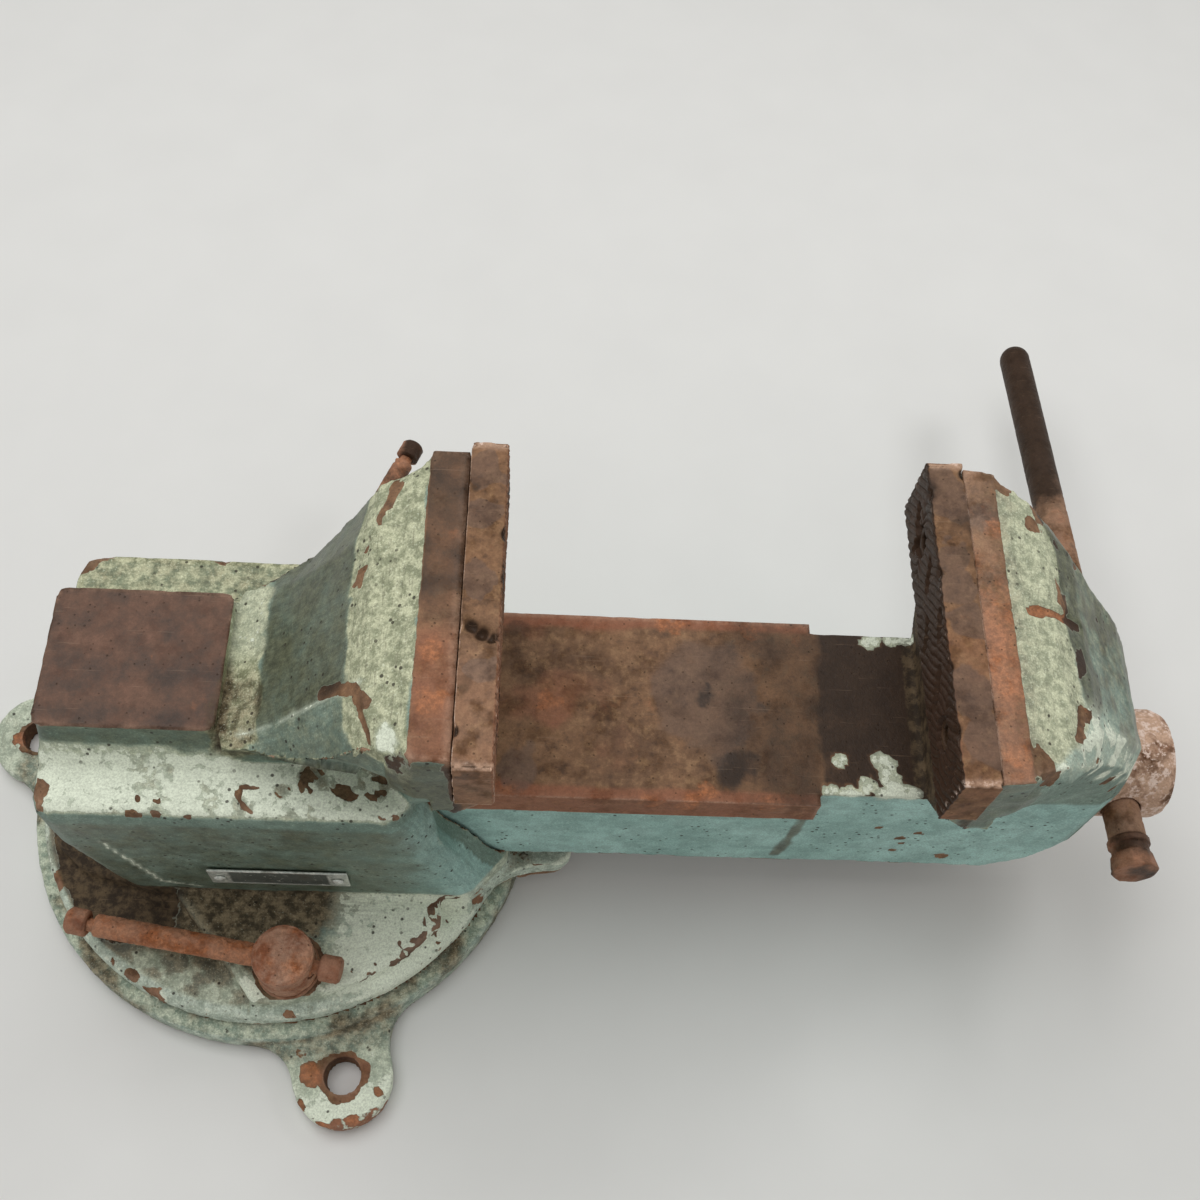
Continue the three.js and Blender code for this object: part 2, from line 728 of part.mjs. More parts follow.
// The moving jaw and nose at rising heights, from the beam's foot to the jaw's top. Along are
// shares of the distance from the jaw's seat to the nose, across are shares of the jaw's half width.
const noseShares = [
  [0, 0, 0.568, 0.3, 0.568, 0.55, 0.568, 0.64, 0.52, 0.69, 0.38],
  [0.035, 0, 0.568, 0.3, 0.568, 0.65, 0.568, 0.75, 0.51, 0.79, 0.38],
  [0.08, 0, 0.568, 0.3, 0.568, 0.75, 0.568, 0.85, 0.5, 0.89, 0.36],
  [0.17, 0, 0.568, 0.3, 0.57, 0.83, 0.568, 0.93, 0.5, 0.965, 0.32],
  [0.3, 0, 0.568, 0.3, 0.575, 0.84, 0.575, 0.93, 0.5, 0.98, 0.3],
  [0.49, 0, 0.575, 0.3, 0.59, 0.83, 0.575, 0.93, 0.5, 1.0, 0.3],
  [0.565, 0, 0.77, 0.24, 0.73, 0.79, 0.575, 0.91, 0.49, 0.985, 0.31],
  [0.65, 0, 0.87, 0.21, 0.83, 0.69, 0.62, 0.84, 0.53, 0.93, 0.36],
  [0.73, 0, 0.96, 0.17, 0.92, 0.59, 0.67, 0.74, 0.58, 0.835, 0.41],
  [0.815, 0, 1, 0.16, 0.975, 0.47, 0.76, 0.59, 0.665, 0.67, 0.5],
  [0.9, 0, 1, 0.155, 0.985, 0.36, 0.88, 0.45, 0.79, 0.52, 0.6],
  [0.97, 0, 1, 0.14, 0.985, 0.23, 0.91, 0.3, 0.86, 0.345, 0.72],
  [1, 0, 1, 0.138, 0.985, 0.15, 0.96, 0.16, 0.93, 0.17, 0.86],
];

function nose() {
  return loft(noseShares.map(([height, ...shares]) => {
    const half = [];
    for (let i = 0; i < shares.length; i += 2) {
      half.push([movingSeat + shares[i] * noseReach, shares[i + 1] * movingJawHalfWidth]);
    }
    return levelRing(half, beamBottom + (stripTop - beamBottom) * height);
  }));
}

function slidingJaw() {
  const front = movingSeat + cutOverrun;
  const core = block([beamRear, -beamHalfWidth, beamBottom], [front, beamHalfWidth, beamTop]);
  const railBottom = beamTop - railThickness;
  const rail = block([beamRear, -railHalfWidth, railBottom], [railEnd, railHalfWidth, beamTop]);
  const inner = beamHalfWidth - beamWall;
  const channelEnd = noseFront - noseWall;
  const channel = block(
    [beamRear - cutOverrun, -inner, beamBottom - cutOverrun], [channelEnd, inner, beamTop - beamRoof],
  );
  const screwBore = along(rod(screwDiameter / 2 + boltClearance, channelEnd - cutOverrun, handleX));
  const bossFace = block(
    [noseFront, -washerDiameter / 2 - cutOverrun, beamBottom - cutOverrun],
    [handleX, washerDiameter / 2 + cutOverrun, screwHeight + screwHeadDiameter / 2 + cutOverrun],
  );
  return cutFrom(united([core, rail, nose(), jawShelf(movingSeat, -1, movingJawHalfWidth)]), [
    channel, solidOf(screwBore.translate(0, 0, screwHeight)), bossFace,
    ...jawScrewSeats(movingJawFace, -1),
  ]);
}

// The main screw lies along X: thread, plain neck through the nose, and the round head.
function mainScrew() {
  const radius = screwDiameter / 2;
  const headStart = noseFront + restGap + washerThickness + restGap;
  const headEnd = headStart + screwHeadLength;
  const head = screwHeadDiameter / 2;
  const ease = screwHeadRound * easeShare;
  const form = along(turned([
    [0, screwTip], [radius - screwTipChamfer, screwTip], [radius, screwTip + screwTipChamfer],
    [radius, headStart], [head - ease, headStart], [head, headStart + ease],
    [head, headEnd - screwHeadRound], [head - ease, headEnd - ease],
    [head - screwHeadRound, headEnd], [0, headEnd],
  ]));
  const collarMiddle = noseFront - noseWall - restGap - collarLength / 2;
  const pinHole = rod(collarPinDiameter / 2 + pressGap, -screwHeight, screwHeight, fastenerSteps);
  const handleHole = rod(handleDiameter / 2 + boltClearance, -screwHeadDiameter, screwHeadDiameter);
  return cutFrom(solidOf(form), [
    solidOf(handleHole.rotateX(Math.PI / 2 - handleTilt).translate(handleX, 0, 0)),
    solidOf(pinHole.translate(collarMiddle, 0, 0)),
  ]).translate(0, 0, screwHeight);
}

function thrustWasher() {
  const inner = screwDiameter / 2 + boltClearance;
  const from = noseFront + restGap;
  const profile = [
    [inner, from], [washerDiameter / 2, from], [washerDiameter / 2, from + washerThickness],
    [inner, from + washerThickness], [inner, from],
  ];
  return solidOf(along(turned(profile)).translate(0, 0, screwHeight));
}

// The collar that keeps the screw in the nose, behind its wall.
function screwCollar() {
  const inner = screwDiameter / 2 + pressGap;
  const outer = collarDiameter / 2;
  const to = noseFront - noseWall - restGap;
  const from = to - collarLength;
  const ring = along(turned([[inner, from], [outer, from], [outer, to], [inner, to], [inner, from]]));
  const hole = rod(collarPinDiameter / 2 + pressGap, -collarDiameter, collarDiameter, fastenerSteps);
  return solidOf(ring).subtract(solidOf(hole.translate(to - collarLength / 2, 0, 0)))
    .translate(0, 0, screwHeight);
}

function collarPin() {
  const middle = noseFront - noseWall - restGap - collarLength / 2;
  const reach = collarDiameter / 2;
  const pin = rod(collarPinDiameter / 2, -reach, reach, fastenerSteps);
  return solidOf(pin.translate(middle, 0, screwHeight));
}

// The fixed nut stands on the body's floor inside the hollow beam.
function mainNut() {
  const low = tunnelFloor + restGap;
  const high = tunnelFloor + nutHeight;
  const rear = nutFront - nutLength;
  const half = nutHalfWidth;
  const c = nutChamfer;
  const section = [
    [-half, low], [half, low], [half, high - c], [half - c, high], [-half + c, high], [-half, high - c],
  ];
  const shape = new THREE.Shape(section.map(([y, z]) => new THREE.Vector2(y, z)));
  const bar = new THREE.ExtrudeGeometry(shape, { depth: nutLength, bevelEnabled: false });
  const blank = solidOf(bar.rotateX(Math.PI / 2).rotateZ(Math.PI / 2).translate(rear, 0, 0));
  const bore = along(rod(screwDiameter / 2 + slideGap, rear - cutOverrun, nutFront + cutOverrun));
  return cutFrom(blank, [solidOf(bore.translate(0, 0, screwHeight)), ...nutBoltHoles()]);
}

function nutBolt(which) {
  const seat = nutBoltSeat();
  const top = tunnelFloor + nutBoltReach;
  const head = nutBoltHeadDiameter / 2;
  const shank = nutBoltDiameter / 2;
  const form = turned([
    [0, seat - nutBoltHeadHeight], [head, seat - nutBoltHeadHeight], [head, seat],
    [shank, seat], [shank, top], [0, top],
  ], fastenerSteps);
  return solidOf(form.translate(nutBoltPlaces()[which], 0, 0));
}

// The handle bar is drawn upright with the screw's axis at zero, then tipped over towards the user.
function tipped(solid) {
  const tip = THREE.MathUtils.radToDeg(Math.PI / 2 - handleTilt);
  return solid.rotate([tip, 0, 0]).translate(handleX, 0, screwHeight);
}

function handleBar() {
  const radius = handleDiameter / 2;
  const high = handleNearReach - capLength + capBoreDepth - restGap;
  const shoulder = handleNearReach - capLength;
  const low = handleNearReach - handleLength;
  const tenon = capBore / 2;
  const dome = Array.from({ length: domeSteps + 1 }, (_, i) => {
    const turn = (i / domeSteps) * (Math.PI / 2);
    return [radius * Math.sin(turn), low + radius * (1 - Math.cos(turn))];
  });
  const end = [[radius, shoulder], [tenon, shoulder], [tenon, high], [0, high]];
  return tipped(solidOf(turned([...dome, ...end])));
}

// Turned cap on the near end, with a groove round it.
function handleCap() {
  const radius = capDiameter / 2;
  const low = handleNearReach - capLength + restGap;
  const high = handleNearReach;
  const bore = capBore / 2 + pressGap;
  const floor = low + capBoreDepth;
  const grooveLow = low + capGrooveWidth;
  const grooveHigh = grooveLow + capGrooveWidth;
  return tipped(solidOf(turned([
    [0, floor], [bore, floor], [bore, low], [radius - capGrooveDepth / 2, low],
    [radius - capGrooveDepth / 2, grooveLow], [radius - capGrooveDepth, grooveLow],
    [radius - capGrooveDepth, grooveHigh], [radius, grooveHigh + capGrooveDepth / 2],
    [radius, high - capGrooveDepth / 2], [radius - capGrooveDepth / 2, high], [0, high],
  ])));
}

// What lies along a lock screw's sliding bar: drawn along X, turned to the bar's angle and set in
// the middle of the screw's head.
function onLockBar(solid, side, angle) {
  const height = lockHeadBottom + lockHeadHeight / 2;
  return solid.translate(lockBarOffset, 0, 0).rotate([0, 0, THREE.MathUtils.radToDeg(angle)])
    .translate(lockX, side * lockY, height);
}

function lockBar(side, angle) {
  const half = lockBarLength / 2;
  const radius = lockBarDiameter / 2;
  const neck = lockBarNeckDiameter / 2;
  const bodyHalf = half - lockBarCapLength - lockBarNeckLength;
  const tip = half - lockBarCapLength + lockBarTenonLength;
  const form = along(turned([
    [0, -tip], [neck, -tip], [neck, -bodyHalf], [radius, -bodyHalf],
    [radius, bodyHalf], [neck, bodyHalf], [neck, tip], [0, tip],
  ], smallRoundSteps));
  return onLockBar(solidOf(form), side, angle);
}

// The cap on one end of a sliding bar: end is 1 on the long side and -1 on the other.
function lockBarCap(side, angle, end) {
  const inner = lockBarLength / 2 - lockBarCapLength + restGap;
  const outer = lockBarLength / 2;
  const radius = lockBarCapDiameter / 2;
  const bore = lockBarNeckDiameter / 2 + pressGap;
  const floor = inner + lockBarTenonLength;
  const cap = along(turned([
    [0, floor], [bore, floor], [bore, inner], [radius, inner], [radius, outer - restGap],
    [radius - restGap, outer], [0, outer],
  ], smallRoundSteps));
  if (end < 0) cap.rotateZ(Math.PI);
  return onLockBar(solidOf(cap), side, angle);
}

function lockScrew(side, angle) {
  const shank = lockShankDiameter / 2;
  const head = lockHeadDiameter / 2;
  const top = lockHeadBottom + lockHeadHeight;
  const ease = lockHeadRound * easeShare;
  const form = turned([
    [0, slotFloor + restGap], [shank, slotFloor + restGap], [shank, lockHeadBottom],
    [head, lockHeadBottom], [head, top - lockHeadRound], [head - ease, top - ease],
    [head - lockHeadRound, top], [0, top],
  ]);
  const hole = along(rod((lockBarDiameter + boltClearance) / 2, -lockHeadDiameter, lockHeadDiameter));
  const cutter = solidOf(hole.rotateZ(angle).translate(0, 0, lockHeadBottom + lockHeadHeight / 2));
  return solidOf(form).subtract(cutter).translate(lockX, side * lockY, 0);
}

function lockWasher(side) {
  const inner = lockShankDiameter / 2 + boltClearance;
  const from = padTop + restGap;
  const outer = lockWasherDiameter / 2;
  const ring = turned([
    [inner, from], [outer, from], [outer, lockWasherTop], [inner, lockWasherTop], [inner, from],
  ], smallRoundSteps);
  return solidOf(ring.translate(lockX, side * lockY, 0));
}

// The nut that a lock screw draws up against the lips of the base's T-slot.
function lockNut(side) {
  const low = slotFloor + restGap;
  const turn = side * THREE.MathUtils.radToDeg(Math.atan2(lockY, lockX));
  const blank = block(
    [-lockNutWidth / 2, -lockNutLength / 2, low],
    [lockNutWidth / 2, lockNutLength / 2, low + lockNutHeight],
  );
  const bore = rod((lockShankDiameter + boltClearance) / 2, 0, baseHeight);
  return blank.subtract(solidOf(bore)).rotate([0, 0, turn]).translate(lockX, side * lockY, 0);
}

function nameplate() {
  const x = nameplateLength / 2;
  const z = nameplateHeight / 2;
  const c = nameplateCorner;
  const outline = roundedOutline([[-x, -z, c], [x, -z, c], [x, z, c], [-x, z, c]]);
  const back = -nearSide + restGap;
  const sheet = slab(outline, back, back + nameplateThickness);
  const upright = THREE.MathUtils.radToDeg(Math.PI / 2);
  const placed = sheet.rotate([upright, 0, 0]).translate(nameplateCentreX, 0, nameplateCentreZ);
  const front = nearSide - restGap - nameplateThickness;
  return cutFrom(placed, rivetHoles(rivetShank / 2 + restGap, front - cutOverrun, nearSide));
}

function nameplateRivet(which) {
  const face = nearSide - restGap - nameplateThickness - restGap;
  const shank = rivetShank / 2;
  const head = rivetDiameter / 2;
  const form = turned([
    [0, -nearSide - rivetDepth], [shank, -nearSide - rivetDepth],
    [shank, -face], [head, -face],
    [head * rivetEdgeShare, -face + rivetStand * rivetEdgeRiseShare], [0, -face + rivetStand],
  ], rivetSteps);
  return solidOf(alongY(form).translate(rivetPlaces()[which], 0, nameplateCentreZ));
}

const vise = new THREE.Group();
vise.add(
  part('base_plate', basePlate(), casting),
  part('swivel_pin', swivelPin(), machined),
  part('vise_body', viseBody(), casting),
  part('fixed_jaw_plate', jawPlate(fixedJawFace, 1), machined),
  part('fixed_jaw_screw_near', jawScrew(fixedJawFace, 1, 0), rusted),
  part('fixed_jaw_screw_far', jawScrew(fixedJawFace, 1, 1), rusted),
  part('sliding_jaw', slidingJaw(), casting),
  part('moving_jaw_plate', jawPlate(movingJawFace, -1), machined),
  part('moving_jaw_screw_near', jawScrew(movingJawFace, -1, 0), rusted),
  part('moving_jaw_screw_far', jawScrew(movingJawFace, -1, 1), rusted),
  part('main_screw', mainScrew(), rusted),
  part('thrust_washer', thrustWasher(), machined),
  part('screw_collar', screwCollar(), machined),
  part('collar_pin', collarPin(), rusted),
  part('main_nut', mainNut(), machined),
  part('nut_bolt_rear', nutBolt(0), rusted),
  part('nut_bolt_front', nutBolt(1), rusted),
  part('handle_bar', handleBar(), rusted),
  part('handle_cap', handleCap(), rusted),
  part('nameplate', nameplate(), plateMetal),
  part('nameplate_rivet_rear', nameplateRivet(0), plateMetal),
  part('nameplate_rivet_front', nameplateRivet(1), plateMetal),
);
for (const [name, side, angle] of [['near', -1, nearBarAngle], ['far', 1, farBarAngle]]) {
  vise.add(
    part(`${name}_lock_screw`, lockScrew(side, angle), rusted),
    part(`${name}_lock_bar`, lockBar(side, angle), rusted),
    part(`${name}_lock_bar_outer_cap`, lockBarCap(side, angle, 1), rusted),
    part(`${name}_lock_bar_inner_cap`, lockBarCap(side, angle, -1), rusted),
    part(`${name}_lock_washer`, lockWasher(side), rusted),
    part(`${name}_lock_nut`, lockNut(side), machined),
  );
}

export default vise;
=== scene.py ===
# %% [markdown]
# # A swivel-base machinist vise
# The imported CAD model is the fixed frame. Each casting is rebuilt here as a dense skin over its CAD
# form, roughened and chipped, and each smaller piece is drawn from a formula. All points are in
# millimetres until a mesh is made, with the origin on the bench at the swivel axis, X towards the
# screw handle and Z up.

# %% Load the frame
import json
import math

import bmesh
import bpy
import numpy as np
from mathutils import Matrix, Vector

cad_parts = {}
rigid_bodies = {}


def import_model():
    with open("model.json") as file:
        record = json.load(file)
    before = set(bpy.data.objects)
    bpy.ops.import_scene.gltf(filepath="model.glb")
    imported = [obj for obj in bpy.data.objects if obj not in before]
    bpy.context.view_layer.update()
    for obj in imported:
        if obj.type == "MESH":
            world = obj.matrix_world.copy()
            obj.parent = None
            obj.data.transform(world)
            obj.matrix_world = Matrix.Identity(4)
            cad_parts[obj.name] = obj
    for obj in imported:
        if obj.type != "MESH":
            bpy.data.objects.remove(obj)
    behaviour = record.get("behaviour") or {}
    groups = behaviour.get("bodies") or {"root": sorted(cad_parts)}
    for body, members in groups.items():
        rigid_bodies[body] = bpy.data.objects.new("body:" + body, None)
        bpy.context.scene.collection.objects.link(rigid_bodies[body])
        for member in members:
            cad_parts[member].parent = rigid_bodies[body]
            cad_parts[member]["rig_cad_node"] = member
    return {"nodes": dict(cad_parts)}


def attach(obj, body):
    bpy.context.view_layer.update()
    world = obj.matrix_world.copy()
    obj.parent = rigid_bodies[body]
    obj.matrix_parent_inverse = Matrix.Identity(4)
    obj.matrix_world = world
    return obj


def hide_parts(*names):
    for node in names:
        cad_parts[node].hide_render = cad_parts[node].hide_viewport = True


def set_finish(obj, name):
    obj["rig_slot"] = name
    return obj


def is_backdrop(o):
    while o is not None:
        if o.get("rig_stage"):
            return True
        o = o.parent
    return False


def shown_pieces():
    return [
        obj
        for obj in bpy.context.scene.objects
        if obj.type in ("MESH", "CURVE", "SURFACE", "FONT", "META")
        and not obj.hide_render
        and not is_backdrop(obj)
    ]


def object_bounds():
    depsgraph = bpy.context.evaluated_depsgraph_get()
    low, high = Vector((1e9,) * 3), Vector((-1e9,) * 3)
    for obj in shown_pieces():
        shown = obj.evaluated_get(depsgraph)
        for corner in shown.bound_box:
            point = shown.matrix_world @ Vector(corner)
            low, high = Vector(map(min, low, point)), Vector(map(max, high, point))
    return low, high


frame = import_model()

MM = 0.001
cad_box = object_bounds()
print("CAD box in metres:", [round(v, 4) for v in (*cad_box[0], *cad_box[1])])

# %% [markdown]
# ## Numbers that stand in for chance
# A lattice gives every whole-numbered place a fixed value from 0 to 1. Between the places the
# values are blended with s = t*t*(3 - 2*t), so the result is smooth, and the same on every run.

# %% Lattice noise
def smoothstep(value, start, end):
    """0 before start, 1 after end, and t*t*(3 - 2*t) between them."""
    t = np.clip((value - start) / (end - start), 0, 1)
    return t * t * (3 - 2 * t)


def lattice_value(cell, seed):
    """A whole-number hash of a lattice place, scaled to the range from 0 to 1."""
    mixed = cell @ np.array([73856093, 19349663, 83492791]) + seed * 1274126177
    for _ in range(2):
        mixed = (mixed ^ (mixed >> 13)) * 1274126177 & 0x7FFFFFFFFFFF
    return ((mixed >> 9) & 0xFFFF) / 0xFFFF


def noise(points, size, seed=0):
    """Smooth values from 0 to 1 whose hills and hollows are about `size` mm across."""
    scaled = np.asarray(points) / size + 137
    cell = np.floor(scaled).astype(np.int64)
    t = scaled - cell
    t = t * t * (3 - 2 * t)
    total = 0
    for corner in np.ndindex(2, 2, 2):
        share = np.where(corner, t, 1 - t).prod(axis=1)
        total = total + share * lattice_value(cell + corner, seed)
    return total


def layered(points, size, seed=0, layers=3):
    """Noise with finer layers added: the sum of noise(size / 2**k) / 2**k, brought back to 0..1."""
    total = sum(noise(points, size / 2**k, seed + k) / 2**k for k in range(layers))
    return np.clip((total / (2 - 2 ** (1 - layers)) - 0.5) * 1.5 + 0.5, 0, 1)


def patches(points, size, seed, start, end):
    """Patches about `size` mm across: 0 where the layered noise is below start, 1 above end."""
    return smoothstep(layered(points, size, seed), start, end)


# %% [markdown]
# ## Turning arrays into objects
# Points and faces are whole arrays. A mesh keeps its per-point values as named attributes, which
# the materials read.

# %% Mesh builders
def object_from(name, points, quads, tris=(), looks=None):
    """A smooth-shaded object from points in mm, four-sided faces and three-sided faces."""
    if not np.isfinite(points).all():
        raise ValueError(f"{name} has points without a place")
    quads, tris = np.asarray(quads, int).reshape(-1, 4), np.asarray(tris, int).reshape(-1, 3)
    mesh = bpy.data.meshes.new(name)
    mesh.vertices.add(len(points))
    mesh.vertices.foreach_set("co", (np.asarray(points) * MM).astype(np.float32).ravel())
    corners = np.concatenate([quads.ravel(), tris.ravel()])
    sizes = np.concatenate([np.full(len(quads), 4), np.full(len(tris), 3)])
    mesh.loops.add(len(corners))
    mesh.loops.foreach_set("vertex_index", corners.astype(np.int32))
    mesh.polygons.add(len(sizes))
    mesh.polygons.foreach_set("loop_start", (np.cumsum(sizes) - sizes).astype(np.int32))
    mesh.update(calc_edges=True)
    mesh.validate()
    set_looks(mesh, looks or {})
    mesh.shade_smooth()
    made = bpy.data.objects.new(name, mesh)
    bpy.context.scene.collection.objects.link(made)
    return made


def set_looks(mesh, looks):
    """Stores each named array of per-point values, held between 0 and 1, as a mesh attribute."""
    for name, values in looks.items():
        layer = mesh.attributes.new(name, "FLOAT", "POINT")
        full = np.broadcast_to(np.clip(values, 0, 1), (len(mesh.vertices),))
        layer.data.foreach_set("value", full.astype(np.float32))


def read_array(items, key, width, kind=np.float32):
    """One row of `width` values for each item of a mesh."""
    flat = np.zeros(width * len(items), kind)
    items.foreach_get(key, flat)
    return flat.reshape(-1, width)


def normals_of(mesh):
    return read_array(mesh.vertex_normals, "vector", 3).astype(float)


def tube(rings, loop=False):
    """Points and faces of a skin over rings of equal count. The ends close on their own centres,
    or the last ring joins the first one when loop is set."""
    rings = np.asarray(rings)
    rows, count = rings.shape[:2]
    index = np.arange(rows * count).reshape(rows, count)
    beside = np.roll(index, -1, axis=1)
    around = (index, beside, np.roll(beside, -1, axis=0), np.roll(index, -1, axis=0))
    stop = rows if loop else rows - 1
    quads = np.stack([side[:stop].ravel() for side in around], 1)
    points = rings.reshape(-1, 3)
    if loop:
        return points, quads, []
    first, last = len(points), len(points) + 1
    points = np.vstack([points, rings[0].mean(0), rings[-1].mean(0)])
    low = np.stack([beside[0], index[0], np.full(count, first)], 1)
    high = np.stack([index[-1], beside[-1], np.full(count, last)], 1)
    return points, quads, np.vstack([low, high])


def faced_outwards(made):
    """Turns the faces of a closed mesh outwards where its signed volume is negative."""
    build = bmesh.new()
    build.from_mesh(made.data)
    if build.calc_volume(signed=True) < 0:
        bmesh.ops.reverse_faces(build, faces=build.faces)
        build.to_mesh(made.data)
    build.free()
    return made


def stands_for(made, body, slot, *nodes):
    """The piece moves with a CAD body and is shown in place of these CAD nodes."""
    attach(made, body)
    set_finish(made, slot)
    if nodes:
        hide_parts(*nodes)
    faces = sum(len(face.vertices) - 2 for face in made.data.polygons)
    print(f"{made.name}: {faces} triangles on {body}")
    return made


# %% [markdown]
# ## A dense skin over a CAD node
# The castings have openings cut through lofted forms, which no formula of two parameters gives.
# Their CAD nodes are copied, welded, and rebuilt as an even grid of small faces that keeps the
# sharp edges. If a cell size leaves an open edge, the next one is tried.

# %% Dense skin
CELL_TRIES = (1.0, 0.97, 1.03, 0.94, 1.06, 0.91, 1.09)


def welded_copy(node, beyond_x=None):
    """The CAD node's mesh with its split corners joined, cut off at a plane across X if asked."""
    build = bmesh.new()
    build.from_mesh(frame["nodes"][node].data)
    bmesh.ops.remove_doubles(build, verts=build.verts, dist=1e-6)
    if beyond_x is not None:
        everything = build.verts[:] + build.edges[:] + build.faces[:]
        cut = bmesh.ops.bisect_plane(
            build, geom=everything, plane_co=(beyond_x * MM, 0, 0), plane_no=(1, 0, 0),
            clear_inner=True)
        rim = [item for item in cut["geom_cut"] if isinstance(item, bmesh.types.BMEdge)]
        bmesh.ops.holes_fill(build, edges=rim)
    mesh = bpy.data.meshes.new(node + "_welded")
    build.to_mesh(mesh)
    build.free()
    return mesh


def dense_skin(name, node, cell, beyond_x=None):
    """An object whose faces are about `cell` mm wide, laid over the node's form."""
    source = bpy.data.objects.new(node + "_source", welded_copy(node, beyond_x))
    bpy.context.scene.collection.objects.link(source)
    grid = source.modifiers.new("grid", "REMESH")
    grid.mode, grid.sharpness, grid.use_remove_disconnected = "SHARP", 1.0, False
    span = max(source.dimensions) / MM
    for share in CELL_TRIES:
        grid.octree_depth = math.ceil(math.log2(span / (cell * share)))
        grid.scale = span / (cell * share * 2**grid.octree_depth)
        view = bpy.context.evaluated_depsgraph_get()
        mesh = bpy.data.meshes.new_from_object(source.evaluated_get(view))
        build = bmesh.new()
        build.from_mesh(mesh)
        open_edges = sum(not edge.is_manifold for edge in build.edges)
        build.free()
        if open_edges == 0:
            break
    print(f"{name}: cell {cell * share:.2f} mm, {len(mesh.polygons)} faces, {open_edges} open edges")
    bpy.data.objects.remove(source)
    mesh.name = name
    mesh.shade_smooth()
    made = bpy.data.objects.new(name, mesh)
    bpy.context.scene.collection.objects.link(made)
    return made


# %% [markdown]
# ## Softening and measuring a skin
# Moving each point towards the mean of its neighbours rounds the edges off. How far a point moves
# along its normal also tells what it sits on: an outer edge stands out from the mean of its
# neighbourhood, and a corner between two faces lies below it.

# %% Softening and measuring
def points_of(mesh):
    return read_array(mesh.vertices, "co", 3).astype(float) / MM


def set_points(mesh, points):
    mesh.vertices.foreach_set("co", (points * MM).astype(np.float32).ravel())
    mesh.update()


def edges_of(mesh):
    return read_array(mesh.edges, "vertices", 2, np.int32)


def neighbour_mean(values, edges):
    """The mean of each point's neighbours, for values of one or several columns."""
    values = values.reshape(len(values), -1)
    start, end = np.concatenate([edges, edges[:, ::-1]]).T
    count = np.bincount(start, minlength=len(values))
    sums = [np.bincount(start, weights=column[end], minlength=len(values)) for column in values.T]
    return np.stack(sums, 1) / np.maximum(count, 1)[:, None]


def softened(points, edges, rounds, share=0.5, regain=0.53):
    """Each round moves every point by `share` of the way to its neighbours' mean and then back by
    `regain` of the way, so small unevenness goes while the size stays."""
    for _ in range(rounds):
        points = points + share * (neighbour_mean(points, edges) - points)
        points = points - regain * (neighbour_mean(points, edges) - points)
    return points


def edge_measure(points, normals, edges, rounds=8):
    """Two arrays from 0 to 1: how much a point stands on an outer edge, and how much it lies in an
    inner corner."""
    mean = points
    for _ in range(rounds):
        mean = mean + 0.5 * (neighbour_mean(mean, edges) - mean)
    stand = ((points - mean) * normals).sum(1)
    return smoothstep(stand, 0.15, 1.1), smoothstep(-stand, 0.15, 1.1)


# %% [markdown]
# ## Zones
# A zone is a box with soft sides, and a spot is a ball with a ragged outline. Both give a value
# from 0 to 1 for every point.

# %% Zones and spots
def zone(points, x=None, y=None, z=None, soft=1.0):
    """1 inside the limits given, 0 outside them, with the change spread over `soft` mm."""
    inside = np.ones(len(points))
    for axis, limits in enumerate((x, y, z)):
        if limits is None:
            continue
        low, high = limits
        if low is not None:
            inside = inside * smoothstep(points[:, axis], low - soft / 2, low + soft / 2)
        if high is not None:
            inside = inside * smoothstep(-points[:, axis], -high - soft / 2, -high + soft / 2)
    return inside


def wandered(points, reach, size, seed=0):
    """The points moved about by up to `reach` mm, so that a zone measured on them ends raggedly."""
    shift = np.stack([layered(points, size, seed + 7 * axis) - 0.5 for axis in range(3)], 1)
    return points + 2 * reach * shift


def spot(points, centre, radius, seed=0):
    """1 at the centre, fading to 0 near `radius`, with an outline that noise pulls in and out."""
    near = np.abs(points - np.array(centre)).max(1) < 2 * radius
    value = np.zeros(len(points))
    away = np.linalg.norm(points[near] - np.array(centre), axis=1)
    ragged = away * (0.6 + 0.8 * layered(points[near], radius * 0.7, 40 + seed))
    value[near] = 1 - smoothstep(ragged, 0.5 * radius, radius)
    return value


def spots(points, table, seed=0):
    """The strongest of several spots, each given as (x, y, z, radius)."""
    total = np.zeros(len(points))
    for i, (x, y, z, radius) in enumerate(table):
        total = np.maximum(total, spot(points, (x, y, z), radius, seed=seed + i))
    return total


def stroke(points, places, width, seed=0):
    """1 along the line through the places, fading out raggedly `width` mm away from it."""
    places = np.array(places, float)
    away = np.full(len(points), 1e9)
    for start, end in zip(places[:-1], places[1:]):
        along = end - start
        share = np.clip(((points - start) @ along) / (along @ along), 0, 1)
        away = np.minimum(away, np.linalg.norm(points - start - share[:, None] * along, axis=1))
    near = away < 2 * width
    value = np.zeros(len(points))
    ragged = away[near] * (0.6 + 0.8 * layered(points[near], 2 * width, 60 + seed))
    value[near] = 1 - smoothstep(ragged, 0.4 * width, width)
    return value


# %% [markdown]
# ## The three castings
# Each casting is softened, chipped along its outer edges, and given the low waves and grain that
# sand leaves. All of these only go inwards. Machined faces keep flat: there `machined` is 1. Where
# `melt` is 1 the form is softened much more, because the foot's raised pads run into its plate
# without a line.

# %% Casting skin
MELT_ROUNDS = 36


